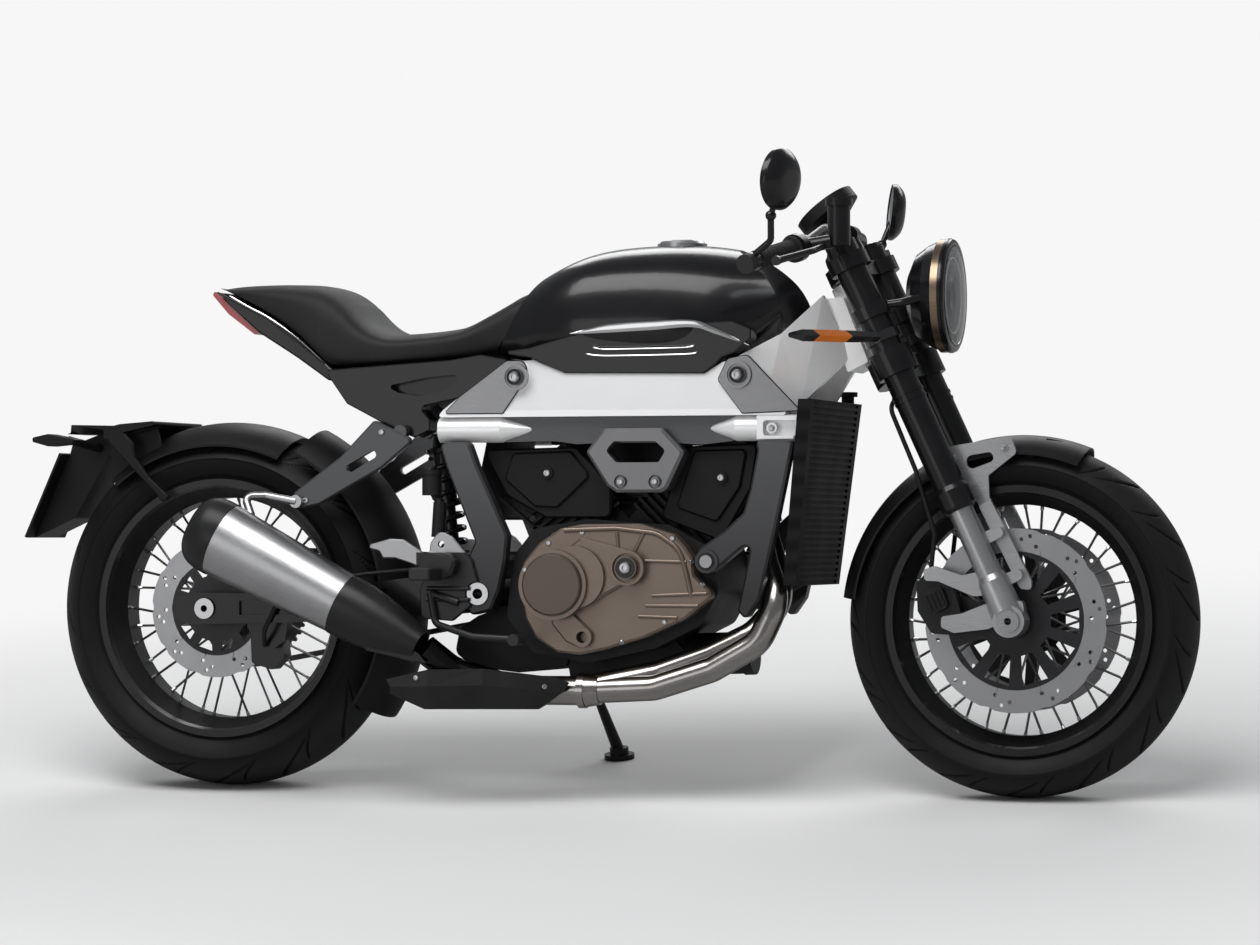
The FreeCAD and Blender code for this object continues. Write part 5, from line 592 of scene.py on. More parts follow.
def make_finishes(colours):
    """One finish for each kind of surface, with its grain, tone and roughness."""
    for name, effect, scale, colour, values in PLAIN_FINISHES:
        shade = getattr(colours, colour) if isinstance(colour, str) else colour
        Finish(name, effect, scale).surface(shade, **values)
    wheel_finishes(colours)
    frame_finishes(colours)
    signal = Finish("signal_two_tone")
    place = signal.measure()
    amber = signal.both(signal.beyond(place["Across"], 181),
                        signal.ramp(place["Across"], 0.2255, 0.2265, 1, 0))
    signal.surface(signal.blend(amber, (0.012, 0.012, 0.013), signal.colour(colours.signal_lens, 0.1)),
                   rough=0.16, vary=0.03, bump=0.02, coat=0.8)
    bronze = Finish("cover_bronze", scale=1200)
    cap = bronze.ramp(bronze.from_axle((654.0, 0, 359.0)), 0.0535, 0.0545, 1, 0)
    bronze.surface(bronze.blend(cap, bronze.colour(colours.cover, 0.14),
                                bronze.colour(tuple(c * 0.6 for c in colours.cover), 0.1)),
                   metallic=0.75, rough=0.38, vary=0.07, bump=0.22, depth=0.0003)
    steel = Finish("header_steel", effect="brushed", scale=40)
    rearwards = steel.ramp(steel.measure()["Ahead"], 0.56, 0.575, 0, 1)
    steel.surface(steel.blend(rearwards, (0.03, 0.03, 0.031), steel.colour((0.42, 0.4, 0.38), 0.2)),
                  metallic=1.0, rough=0.2, vary=0.06, bump=0.03)
    Finish("muffler_brushed", effect="brushed", scale=70, turn=MUFFLER_TURN).surface(
        colours.muffler, metallic=1.0, rough=0.34, vary=0.08, spread=0.16, bump=0.1)
    core = Finish("radiator_core", scale=1000)
    wave = core.tree.nodes.new("ShaderNodeTexWave")
    wave.bands_direction = "Y"
    wave.inputs["Scale"].default_value = 130.0
    core.tree.links.new(core.where, wave.inputs["Vector"])
    core.surface(core.blend(wave.outputs["Fac"], (0.003, 0.003, 0.0035), (0.011, 0.011, 0.012)), rough=0.6,
                 bump=0.2, Specular_IOR_Level=0.15)


SLOT_FINISH = {
    "tyre": "rear_tyre_rubber", "chain_steel": "chain_metal", "shaft_steel": "axle_metal",
    "black_metal": "black_satin", "silver_frame": "frame_silver", "grey_frame": "frame_grey",
    "engine_black": "engine_casting", "bronze_cover": "cover_bronze", "exhaust_steel": "header_steel",
    "muffler_steel": "muffler_brushed", "dark_plastic": "moulded_black", "radiator_alloy": "radiator_core",
    "gloss_black": "paint_black", "bright_alloy": "satin_alloy", "seat_cover": "seat_vinyl",
    "red_lens": "lens_red", "clear_lens": "lamp_glass", "hose_rubber": "hose_rubber",
    "rubber_grip": "grip_rubber", "amber_lens": "lens_amber", "plate_blank": "plate_white",
    "black_rim": "rear_wheel_metal", "brake_steel": "rear_disc_metal"}
NODE_FINISH = {
    "front_tyre": "front_tyre_rubber", "front_rim": "front_wheel_metal", "front_discs": "front_disc_metal",
    "muffler_ends": "exhaust_dark", "exhaust_shield": "exhaust_dark", "number_plate": "moulded_black",
    "footrests": "footrest_two_tone", "front_signals": "signal_two_tone", "rear_legs": "leg_grey",
    "front_legs": "leg_grey"}


def finish(name):
    if name not in FINISHES:
        raise RuntimeError("there is no finish named " + name)
    return FINISHES[name]


def dress_nodes():
    """Gives every carried-over solid the finish of its slot, or its own."""
    slots = {}
    for entry in frame["record"].get("materials", []):
        for node in entry.get("nodes", entry.get("parts", [])):
            slots[node] = entry.get("slot")
    for name, thing in frame["nodes"].items():
        own = [slot.material.name for slot in thing.material_slots if slot.material]
        slot = slots.get(name) or (own[0].split(".")[0] if own else None)
        chosen = finish(NODE_FINISH.get(name) or SLOT_FINISH.get(slot, "moulded_black"))
        if not thing.material_slots:
            thing.data.materials.append(chosen)
        for holder in thing.material_slots:
            holder.material = chosen


# Pieces

def tyre_rows(look, radius, width, crown, seat, bead, steps, ribs):
    """A tyre: the crown's arc and rounded walls in section, turned round the axle, and sunk where a
    groove's line passes: radius = arc - depth * smooth(half width - distance to the groove)."""
    half = width / 2
    middle = radius - crown
    edge = math.asin(half / crown)
    phi = np.linspace(-edge, edge, ribs)
    arc = np.stack([crown * np.sin(phi), middle + crown * np.cos(phi)], -1)
    shoulder = arc[-1]
    wall_t = np.linspace(0, 1, 12)[1:]
    foot = np.array([seat, bead + 10.0])
    bulge = np.sin(np.pi * wall_t) * 2.2 + 0.8 * np.sin(np.pi * np.clip((wall_t - 0.72) / 0.14, 0, 1))
    wall = shoulder + (foot - shoulder) * wall_t[:, None]
    out = unit([(foot - shoulder)[1] * -1, (foot - shoulder)[0]])
    wall = wall + out * bulge[:, None] * np.sign(out[0])
    wall[:, 0] = np.minimum(wall[:, 0], half)
    left = wall[::-1] * np.array([-1, 1.0])
    base = np.array([[seat, bead + 0.2], [0, bead + 0.2], [-seat, bead + 0.2]])
    section = np.concatenate([left, arc, wall, base])
    turn = 2 * np.pi * np.arange(steps) / steps
    across = np.concatenate([np.full(len(left), 2.0), phi / edge, np.full(len(wall) + len(base), 2.0)])
    v = across[None, :]
    around = turn[:, None] * radius
    pitch = 2 * np.pi * radius / look.tread_repeats
    depth = np.zeros((steps, len(section)))
    arc_length = crown * edge
    for shift, low, high, lean, width_mm in ((0.0, 0.1, 0.86, 1.35, look.groove_width),
                                             (0.52, 0.34, 0.93, 0.9, look.groove_width * 0.7)):
        for sign in (-1, 1):
            share = np.clip((sign * v - low) / (high - low), 0, 1)
            inside = (sign * v > low) & (sign * v < high)
            line = lean * arc_length * (high - low) * (share - 0.35 * np.sin(np.pi * share) * 0.5)
            offset = (around - line - (shift + (0.5 if sign > 0 else 0.0)) * pitch) % pitch
            gap = np.minimum(offset, pitch - offset) / math.hypot(1, lean)
            taper = width_mm * 0.5 * np.clip(np.sin(np.pi * np.clip(share, 0.02, 0.98)) * 2.2, 0.25, 1)
            cut = np.clip((taper - gap) / 0.9, 0, 1) * inside
            depth = np.maximum(depth, cut)
    height = section[None, :, 1] - look.tread_depth * depth - 0.15
    return np.stack([height * np.cos(turn)[:, None], np.broadcast_to(section[None, :, 0], height.shape),
                     height * np.sin(turn)[:, None]], -1)


def seat_rows(look, rings=110, sides=72):
    """The cushion: a station joins a top and a bottom point of the side view; round it the section is
    a squared ellipse, y = half width * cos^a, height = mix of the two points by sin^b."""
    stations = np.array([
        [-4, 882.0, 0, 879.5], [22, 885, 18, 871], [56, 886.6, 44, 860], [110, 887, 94, 835.5],
        [165, 885.2, 147, 801.5], [196, 881.2, 188, 766], [222, 872, 208, 748], [248, 852.6, 226, 740.5],
        [274, 825.6, 252, 740.6], [300, 807.2, 282, 742.4], [334, 797, 324, 745], [386, 799, 374, 747.8],
        [433, 804, 420, 750.8], [462, 811.4, 448, 753], [497, 830, 474, 755.4], [530, 848.4, 492, 758],
        [556, 863, 502, 759.4], [581, 870.2, 509.4, 760.4]])
    line = smooth_path(stations, rings)
    top, low = line[:, None, :2], line[:, None, 2:]
    angle = 2 * np.pi * (np.arange(sides) + 0.5) / sides
    c, s = np.cos(angle), np.sin(angle)
    up = np.where(s > 0, np.abs(s) ** (2 / 3.4), -np.abs(s) ** (2 / 6.0))
    wide = np.sign(c) * np.abs(c) ** (2 / 3.6)
    share = (up + 1) / 2
    place = low + (top - low) * share[None, :, None]
    half = 125 * np.interp(place[..., 0], [-10, 90, 200, 300, 420, 500, 560, 600],
                           [0.5, 0.76, 0.97, 1.0, 0.9, 0.68, 0.6, 0.56])
    pull = 1 - look.seat_tuck * np.clip(1 - share, 0, 1)[None] ** 2
    crown = look.seat_crown * (1 - wide ** 2)[None] * np.clip(share, 0, 1)[None] ** 3
    seam = np.exp(-((np.linspace(0, 17, rings)[:, None] - 6.9) / 0.07) ** 2) * 1.5
    rim = np.exp(-((share[None] - 0.09) / 0.025) ** 2) * 1.2
    inset = 0.5 + seam + rim
    y = wide[None] * (half * pull - inset)
    z = place[..., 1] + crown - look.seat_crown - 0.4 - seam * np.clip(s, 0, 1)[None]
    low_limit = np.broadcast_to(low[..., 1], z.shape) + 0.4
    z = np.maximum(z, np.minimum(low_limit, place[..., 1] + 3))
    return np.stack([place[..., 0], y, z], -1)


def screw_form(steps=12):
    """A socket-headed button: its profile turned round +Z, radius 1, standing 0.55 proud."""
    profile = [(-0.3, 1.0), (0.3, 1.0), (0.5, 0.86), (0.55, 0.6), (0.55, 0.46), (0.2, 0.42)]
    rows = lathe_rows(profile, (0, 0, 0), (0, 0, 1), steps)
    skin = Skin().grid(rows)
    return np.vstack(skin.spots), skin.faces


def turns_to(directions):
    """Turning matrices that carry +Z to each direction."""
    directions = unit(np.asarray(directions, float).reshape(-1, 3))
    side, other = frame_about(directions)
    return np.stack([side, other, directions], -1)


def screws(name, body, spots, finish_name, slot):
    """Screws at places on nodes: each entry is (node, x, z, radius, sides)."""
    places, outs, sizes = [], [], []
    for node, x, z, radius, signs in spots:
        for sign in signs:
            spot, out = landing(node, x, z, sign)
            places.append(spot)
            outs.append(out)
            sizes.append(radius)
    form, faces = screw_form()
    skin = Skin().copies(form, faces, places, turns_to(outs), sizes)
    return skin.piece(name, finish(finish_name), body, slot)


CHASSIS_SCREWS = (
    [("frame_beams", x, z, 9.5, (-1, 1)) for x, z in LUG_BOLTS]
    + [("frame_bands", x, z, 6.0, (-1, 1)) for x, z in ((768, 534), (829, 534))]
    + [("frame_beams", 1030, 624, 6.0, (-1, 1))]
    + [("cylinder_covers", x, z, 6.5, (-1, 1)) for x, z in ((624, 550), (934, 541))]
    + [("hanger_plates", x, z, 5.6, (-1, 1)) for x, z in ((330, 622), (190, 504))]
    + [("exhaust_shield", x, z, 5.0, (-1,)) for x, z in ((640, 186), (420, 200))]
    + [("generator_cover", x, z, 4.6, (1,)) for x, z in ((560, 380), (560, 310), (680, 430), (680, 306))]
    + [("clutch_cover", 784, 388, 10.5, (-1,))]
    + [("clutch_cover", x, z, 4.6, (-1,)) for x, z in ((606, 384), (640, 430), (700, 448), (860, 438),
                                                       (893, 398), (912, 360), (846, 296), (770, 262))])
STEERING_SCREWS = [
    ("guard_stays", x, z, 4.6, (-1, 1)) for x, z in ((1326, 573), (1413, 589), (1407, 450), (1440, 379))]


def millimetres(name, about, value, low, high):
    return FloatProperty(name=name, description=about + ", in millimetres", default=value, min=low, max=high)


def watts(name, about, value):
    return FloatProperty(name=name, description=about, default=value, min=0, max=2000, unit="POWER")


class CafeLook(bpy.types.PropertyGroup):
    """Sizes that change the small pieces."""
    tread_depth: millimetres("Tread depth", "Depth of the tyres' grooves", 3.2, 0.5, 6)
    groove_width: millimetres("Groove width", "Width of the main grooves", 6.0, 2, 12)
    tread_repeats: IntProperty(name="Tread repeats", description="Repeats of the tread round a tyre",
                               default=15, min=6, max=40)
    seat_crown: millimetres("Seat crown", "Rise of the seat's middle", 7.0, 0, 20)
    seat_tuck: FloatProperty(name="Seat tuck", description="Pull of the seat's sides towards its base",
                             default=0.07, min=0, max=0.3, subtype="FACTOR")
    spring_wire: millimetres("Spring wire", "Radius of the shock's wire", 4.6, 2, 7)
    spring_turns: IntProperty(name="Spring turns", description="Turns of the shock's spring", default=7,
                              min=3, max=14)


def tint(name, about, value):
    return FloatVectorProperty(name=name, description=about, subtype="COLOR", size=3, min=0, max=1,
                               default=value)


class CafeColours(bpy.types.PropertyGroup):
    """Colours of the main finishes."""
    paint: tint("Paint", "Tank, tail and lamp shell", (0.006, 0.006, 0.007))
    frame: tint("Frame beams", "Upper side beams", (0.9, 0.9, 0.905))
    lugs: tint("Frame lugs", "Brushed ends of the side beams", (0.28, 0.28, 0.29))
    bands: tint("Frame bands", "Lower bands and legs", (0.085, 0.086, 0.09))
    cover: tint("Engine cover", "Covers of the engine's sides", (0.225, 0.178, 0.145))
    muffler: tint("Muffler", "Brushed canister", (0.5, 0.5, 0.51))
    seat: tint("Seat cover", "Grained seat cover", (0.013, 0.013, 0.014))
    rim: tint("Rims", "Wheel rims and hubs", (0.018, 0.018, 0.019))
    rubber: tint("Tyres", "Tyre rubber", (0.006, 0.006, 0.0063))
    tail_lens: tint("Tail lens", "Tail lamp", (0.28, 0.008, 0.012))
    signal_lens: tint("Signal lens", "Front turn signals", (0.62, 0.16, 0.02))
    lamp_ring: tint("Lamp ring", "Band round the headlight", (0.3, 0.215, 0.15))


class CafeStudio(bpy.types.PropertyGroup):
    """Light and backdrop."""
    key_power: watts("Key lamp", "Power of the large lamp above", 100.0)
    fill_power: watts("Fill lamp", "Power of the lamp on the camera's side", 14.0)
    rim_power: watts("Rim lamp", "Power of the lamp behind", 70.0)
    backdrop: FloatProperty(name="Backdrop", description="Brightness that the camera sees behind",
                            default=0.93, min=0, max=1, subtype="FACTOR")


def area_lamp(name, spot, target, size, power, tint=(1, 1, 1)):
    data = bpy.data.lights.new(name, "AREA")
    data.shape = "RECTANGLE"
    data.size, data.size_y = size
    data.energy = power
    data.color = tint
    lamp = bpy.data.objects.new(name, data)
    lamp.location = spot
    lamp.rotation_euler = (Vector(target) - Vector(spot)).to_track_quat("-Z", "Y").to_euler()
    bpy.context.scene.collection.objects.link(lamp)


def camera_axes():
    """The camera's right, up and back directions, fitted to the photograph and leaned with the object."""
    turn = math.atan2(0.2871, 0.9579)
    pitch = math.radians(0.779)
    right = np.array([math.cos(turn), math.sin(turn), 0])
    ahead = np.array([-math.sin(turn) * math.cos(pitch), math.cos(turn) * math.cos(pitch), math.sin(pitch)])
    up = np.cross(right, ahead)
    lean = np.array([[1, 0, 0], [0, math.cos(LEAN), math.sin(LEAN)], [0, -math.sin(LEAN), math.cos(LEAN)]])
    return [lean @ v for v in (right, up, -ahead)]


class CAFE_OT_stage(bpy.types.Operator):
    """Makes the floor, the backdrop's light, the lamps and the camera"""
    bl_idname = "cafe.stage"
    bl_label = "Stage"

    def execute(self, context):
        studio = context.scene.cafe_studio
        scene = context.scene
        scene.view_settings.view_transform = "Standard"
        world = bpy.data.worlds.new("studio")
        scene.world = world
        world.use_nodes = True
        nodes, links = world.node_tree.nodes, world.node_tree.links
        nodes.clear()
        path = nodes.new("ShaderNodeLightPath")
        seen, lit = nodes.new("ShaderNodeBackground"), nodes.new("ShaderNodeBackground")
        seen.inputs["Color"].default_value = (studio.backdrop, studio.backdrop, studio.backdrop, 1)
        lit.inputs["Color"].default_value = (0.9, 0.92, 0.95, 1)
        lit.inputs["Strength"].default_value = 0.2
        either = nodes.new("ShaderNodeMath")
        either.operation = "MAXIMUM"
        links.new(path.outputs["Is Camera Ray"], either.inputs[0])
        links.new(path.outputs["Is Transmission Ray"], either.inputs[1])
        mix = nodes.new("ShaderNodeMixShader")
        links.new(either.outputs[0], mix.inputs[0])
        links.new(lit.outputs[0], mix.inputs[1])
        links.new(seen.outputs[0], mix.inputs[2])
        links.new(mix.outputs[0], nodes.new("ShaderNodeOutputWorld").inputs["Surface"])

        u, v = np.meshgrid(np.linspace(-1, 1, 41), np.linspace(-1, 1, 41))
        floor = bpy.data.meshes.new("studio_floor")
        spots = np.stack([u * 14, v * 14 + 2, 0 * u], -1).reshape(-1, 3)
        index = np.arange(41 * 41).reshape(41, 41)
        quads = np.stack([index[:-1, :-1], index[:-1, 1:], index[1:, 1:], index[1:, :-1]], -1).reshape(-1, 4)
        floor.from_pydata(spots.tolist(), [], quads.tolist())
        ground = bpy.data.objects.new("studio_floor", floor)
        scene.collection.objects.link(ground)
        pale = bpy.data.materials.new("studio_floor")
        pale.use_nodes = True
        tree = pale.node_tree
        tree.nodes.clear()
        diffuse, clear = tree.nodes.new("ShaderNodeBsdfDiffuse"), tree.nodes.new("ShaderNodeEmission")
        mirrored = tree.nodes.new("ShaderNodeLightPath").outputs["Is Glossy Ray"]
        for shader, bright in ((diffuse, 0.9), (clear, studio.backdrop)):
            shade = tree.nodes.new("ShaderNodeMix")
            shade.data_type = "RGBA"
            tree.links.new(mirrored, shade.inputs["Factor"])
            shade.inputs[6].default_value = (bright, bright, bright, 1)
            shade.inputs[7].default_value = (bright * 0.4, bright * 0.4, bright * 0.4, 1)
            tree.links.new(shade.outputs[2], shader.inputs["Color"])
        where = tree.nodes.new("ShaderNodeTexCoord")
        length = tree.nodes.new("ShaderNodeVectorMath")
        length.operation = "LENGTH"
        tree.links.new(where.outputs["Object"], length.inputs[0])
        fade = tree.nodes.new("ShaderNodeMapRange")
        fade.interpolation_type = "SMOOTHSTEP"
        for label, value in (("From Min", 1.1), ("From Max", 2.6), ("To Min", 0.0), ("To Max", 1.0)):
            fade.inputs[label].default_value = value
        tree.links.new(length.outputs["Value"], fade.inputs["Value"])
        both = tree.nodes.new("ShaderNodeMixShader")
        tree.links.new(fade.outputs["Result"], both.inputs[0])
        tree.links.new(diffuse.outputs[0], both.inputs[1])
        tree.links.new(clear.outputs[0], both.inputs[2])
        tree.links.new(both.outputs[0], tree.nodes.new("ShaderNodeOutputMaterial").inputs["Surface"])
        floor.materials.append(pale)

        area_lamp("key", (-0.5, -1.7, 3.5), (0, 0, 0.5), (3.6, 1.8), studio.key_power)
        area_lamp("fill", (-1.8, -4.6, 1.4), (0, 0, 0.5), (2.4, 1.8), studio.fill_power)
        area_lamp("back", (0.2, 3.2, 2.6), (0, 0, 0.5), (4.5, 1.6), studio.rim_power)

        data = bpy.data.cameras.new("view")
        data.lens = 4500 * 36 / 1260
        data.sensor_width = 36
        data.clip_end = 100
        camera = bpy.data.objects.new("view", data)
        right, up, back = camera_axes()
        spot = parked(np.array([2977.0, -7480.0, 446.0]))
        camera.matrix_world = Matrix([[*(float(a[k]) for a in (right, up, back)), float(spot[k])]
                                      for k in range(3)] + [[0, 0, 0, 1]])
        scene.collection.objects.link(camera)
        scene.camera = camera
        return {"FINISHED"}


class CAFE_OT_finishes(bpy.types.Operator):
    """Builds the finishes and gives each solid its own"""
    bl_idname = "cafe.finishes"
    bl_label = "Finishes"

    def execute(self, context):
        make_finishes(context.scene.cafe_colours)
        dress_nodes()
        return {"FINISHED"}


class CAFE_OT_tyres(bpy.types.Operator):
    """Makes the two tyres with their swept grooves"""
    bl_idname = "cafe.tyres"
    bl_label = "Tyres"

    def execute(self, context):
        look = context.scene.cafe_look
        steps, ribs = ((1080, 73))
        for name, node, axle, sizes in (("rear_tread", "rear_tyre", REAR_AXLE, (315, 178, 104, 69.7)),
                                        ("front_tread", "front_tyre", FRONT_AXLE, (300, 120, 66, 44.2))):
            rows = tyre_rows(look, *sizes, RIM_BEAD, steps, ribs) + np.array(axle)
            thing = Skin().grid(rows, around=True, along=True).piece(
                name, finish(node + "_rubber"), node.replace("tyre", "wheel"), "tyre", 50)
            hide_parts(node)
        return {"FINISHED"}


class CAFE_OT_seat(bpy.types.Operator):
    """Makes the stepped seat's cushion with its cross seam and lower edge"""
    bl_idname = "cafe.seat"
    bl_label = "Seat"

    def execute(self, context):
        rows = seat_rows(context.scene.cafe_look)
        cushion = Skin().grid(rows).piece("seat_cushion", finish("seat_vinyl"), "chassis", "seat_cover", 60)
        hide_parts("seat")
        return {"FINISHED"}


class CAFE_OT_screws(bpy.types.Operator):
    """Sets screws on the frame, the covers and the fork's plates"""
    bl_idname = "cafe.screws"
    bl_label = "Screws"

    def execute(self, context):
        screws("chassis_screws", "chassis", CHASSIS_SCREWS, "axle_metal", "shaft_steel")
        screws("steering_screws", "steering", STEERING_SCREWS, "axle_metal", "shaft_steel")
        # painted shade: thin black rings laid on the clutch cover round two bosses, standing in for the shade
        # in their recesses
        rings = Skin()
        for x, z, bore, brim in ((784, 388, 10.8, 17.6), (702, 270, 8.0, 10.4)):
            spot = landing("clutch_cover", x + (brim + bore) / 2, z)[0] - np.array([(brim + bore) / 2, 0, 0])
            profile = [(-0.3, bore), (0.5, bore), (0.5, brim), (-0.3, brim)]
            rings.grid(lathe_rows(profile, spot, (0, -1, 0), 40), along=True)
        rings.piece("cover_rings", finish("black_satin"), "chassis", "black_metal")
        return {"FINISHED"}


class CAFE_OT_nipples(bpy.types.Operator):
    """Makes the nipples where the spokes meet the rims"""
    bl_idname = "cafe.nipples"
    bl_label = "Spoke nipples"

    def execute(self, context):
        for name, body, axle, rim_width in (("rear_nipples", "rear_wheel", REAR_AXLE, 140),
                                            ("front_nipples", "front_wheel", FRONT_AXLE, 89)):
            index = np.arange(SPOKES)
            angle = 2 * np.pi * index / SPOKES
            side_sign = np.where(index % 2, 1, -1)
            lean_sign = np.where(index % 4 < 2, 1, -1)
            start = angle - lean_sign * 2 * np.pi / SPOKES * 3.2
            reach = RIM_BEAD - 26 + 3
            well = rim_width / 2 * 0.35
            high = np.stack([reach * np.cos(angle), side_sign * well * 0.6, reach * np.sin(angle)], -1)
            low = np.stack([46 * np.cos(start), side_sign * 60, 46 * np.sin(start)], -1)
            form = Skin().grid(lathe_rows([(0, 1.0), (2.6, 0.92), (3.4, 0.62)], (0, 0, 0), (0, 0, 1), 8))
            skin = Skin().copies(np.vstack(form.spots), form.faces, high + axle, turns_to(low - high), 3.4)
            skin.piece(name, finish("axle_metal"), body, "shaft_steel")
        return {"FINISHED"}


class CAFE_OT_spring(bpy.types.Operator):
    """Makes the rear shock: damper body, eyes and a coil spring"""
    bl_idname = "cafe.spring"
    bl_label = "Shock"

    def execute(self, context):
        look = context.scene.cafe_look
        top, low = SHOCK
        run = top - low
        length = np.linalg.norm(run)
        axis = run / length
        body = Skin()
        profile = [(8, 9), (14, 12), (26, 13), (26, 28.5), (31, 28.5), (32, 12), (length * 0.5, 12),
                   (length * 0.5, 17), (length - 44, 17), (length - 42, 28.5), (length - 35, 28.5),
                   (length - 31, 18), (length - 14, 15), (length - 8, 9)]
        body.grid(lathe_rows(profile, low, axis, 32))
        for spot in (low, top):
            body.grid(lathe_rows([(-12.8, 8), (-12.8, 14), (-11, 15), (11, 15), (12.8, 14), (12.8, 8)], spot,
                                 (0, 1, 0), 28))
        thing = body.piece("shock_body", finish("black_satin"), "chassis", "black_metal")
        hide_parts("shock")
        turns = look.spring_turns
        t = np.linspace(0, 1, 40 * turns + 1)
        rise = 36 + (length - 44 - 42) * t
        side, other = frame_about(axis)
        angle = 2 * np.pi * turns * t
        path = (low + rise[:, None] * axis + 23.5 * (np.cos(angle)[:, None] * side
                                                     + np.sin(angle)[:, None] * other))
        Skin().grid(tube_rows(path, look.spring_wire, 10)).piece(
            "shock_spring", finish("paint_black"), "chassis", "black_metal")
        return {"FINISHED"}


SHOCK = (np.array([386.0, 0, 630.0]), np.array([416.0, 0, 383.0]))


class CAFE_OT_headlight(bpy.types.Operator):
    """Makes the lamp's bronze band, bright rim, reflector, ring light and glass"""
    bl_idname = "cafe.headlight"
    bl_label = "Headlight"

    def execute(self, context):
        lamp = LAMP_SPOT
        ahead = (1, 0, 0)
        for name, look, slot, steps, ends, profile in (
                ("lamp_band", "ring_bronze", "bright_alloy", 96, False,
                 [(52.5, 95.5), (53, 96.6), (65, 96.6), (66, 95.5)]),
                ("lamp_bead", "paint_black", "black_metal", 96, False,
                 [(66.2, 95.5), (66.8, 97.6), (70.4, 97.6), (71, 95.5)]),
                ("lamp_rim", "paint_black", "black_metal", 96, True,
                 [(71, 95.8), (72, 96.8), (75, 95.6), (76.6, 92.5), (76.2, 87), (74, 86.6)]),
                # the reflector's finish carries painted shade: its metal is near black for the shade inside
                # the lamp
                ("lamp_reflector", "lamp_inner", "bright_alloy", 72, True,
                 [(68.2, 0.01), (68.2, 20), (70.5, 24), (69, 30), (68.6, 50), (71.4, 60), (68.6, 70),
                  (69.5, 84), (68.1, 84.2), (68.05, 0.01)])):
            ring = Skin().grid(lathe_rows(profile, lamp, ahead, steps), ends=ends, along=True)
            ring.piece(name, finish(look), "steering", slot)
        glow = Skin().grid(tube_rows(np.stack([
            np.full(72, lamp[0] + 71.5), 64 * np.cos(2 * np.pi * np.arange(72) / 72),
            lamp[2] + 64 * np.sin(2 * np.pi * np.arange(72) / 72)], -1), 2.2, 8, closed=True), along=True)
        glow.piece("lamp_ring_light", finish("dial_marks"), "steering", "clear_lens")
        r = np.linspace(0.01, 84.4, 14)
        outer = np.stack([86.2 - 9.2 * (r / 84.4) ** 2.2, r], -1)
        inner = outer[::-1] - np.array([2.2, 0])
        inner[:, 1] = np.minimum(inner[:, 1], 83.8)
        glass = Skin().grid(lathe_rows(np.concatenate([outer, inner]), lamp, ahead, 72), along=True)
        pane = glass.piece("lamp_glass", finish("lamp_glass"), "steering", "clear_lens")
        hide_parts("headlight_lens")
        return {"FINISHED"}


class CAFE_OT_instrument(bpy.types.Operator):
    """Makes the dial's face with its marks, needle and rim"""
    bl_idname = "cafe.instrument"
    bl_label = "Instrument"

    def execute(self, context):
        centre = DIAL_SPOT
        facing = unit([-0.62, 0, 0.78])
        up = unit([0.78, 0, 0.62])
        right = np.cross(up, facing)
        Skin().grid(lathe_rows([(7.1, 0.01), (7.1, 50.6), (7.9, 50.6), (7.9, 0.01)], centre, facing, 64),
                    along=True).piece("dial_face", finish("dial_black"), "steering", "dark_plastic")
        angle = np.radians(np.linspace(-130, 130, 27))
        spoke = np.sin(angle)[:, None] * right + np.cos(angle)[:, None] * up
        long = np.where(np.arange(27) % 2 == 0, 1.0, 0.55)[:, None]
        skin = Skin()
        box = np.array([[x, y, z] for x in (-1, 1) for y in (-1, 1) for z in (-1, 1)], float)
        sides = np.array([[0, 1, 3, 2], [4, 6, 7, 5], [0, 4, 5, 1], [2, 3, 7, 6], [0, 2, 6, 4], [1, 5, 7, 3]])
        places = centre + facing * 8.1 + spoke * (46 - 4 * long)
        thick = np.tile(facing * 0.3, (27, 1))
        turns = np.stack([np.cross(facing, spoke) * 0.55, spoke * 4 * long, thick], -1)
        skin.copies(box, [sides], places, turns, 1.0)
        hand = math.radians(-60)
        point = math.sin(hand) * right + math.cos(hand) * up
        skin.grid(tube_rows([centre + facing * 9 - point * 8, centre + facing * 9, centre + facing * 9
                             + point * 36], [1.6, 1.9, 0.5], 8))
        skin.grid(lathe_rows([(7.9, 5), (10, 4.6), (10.4, 3)], centre, facing, 24))
        skin.piece("dial_marks", finish("dial_marks"), "steering", "dark_plastic")
        Skin().grid(lathe_rows([(11.6, 50.9), (12.6, 51.5), (13, 54), (12.2, 56.0), (11.8, 56.2)], centre,
                               facing, 64), along=True).piece("dial_rim", finish("black_satin"), "steering",
                                                              "black_metal")
        return {"FINISHED"}


class CAFE_OT_mirrors(bpy.types.Operator):
    """Makes the two mirrors' slightly domed glasses and their domed backs"""
    bl_idname = "cafe.mirrors"
    bl_label = "Mirror glasses"

    def execute(self, context):
        skin, backs = Skin(), Skin()
        for sign in (-1, 1):
            glass = np.array([1111.2, sign * 398.0, 1023.2])
            facing = unit([-0.93, -sign * 0.32, 0.1])
            r = np.linspace(0.01, 46.8, 9)
            face = np.stack([7.4 - 1.0 * (r / 46.8) ** 2, r], -1)
            skin.grid(lathe_rows(np.concatenate([face, [[6.05, 46.8], [6.05, 0.01]]]), glass, facing, 56),
                      along=True)
            r = np.linspace(0.01, 50.6, 24)
            dome = np.stack([-19.5 + 18.0 * (r / 50.6) ** 4, r], -1)
            rim = [[2.0, 50.8], [5.8, 50.6], [5.8, 50.1]]
            inner = np.stack([dome[::-1, 0] + 0.8, np.minimum(dome[::-1, 1], 50.1)], -1)
            backs.grid(lathe_rows(np.concatenate([dome, rim, inner]), glass, facing, 64), along=True)
        skin.piece("mirror_glasses", finish("mirror_glass"), "steering", "bright_alloy")
        backs.piece("mirror_backs", finish("paint_black"), "steering", "gloss_black", 60)
        return {"FINISHED"}


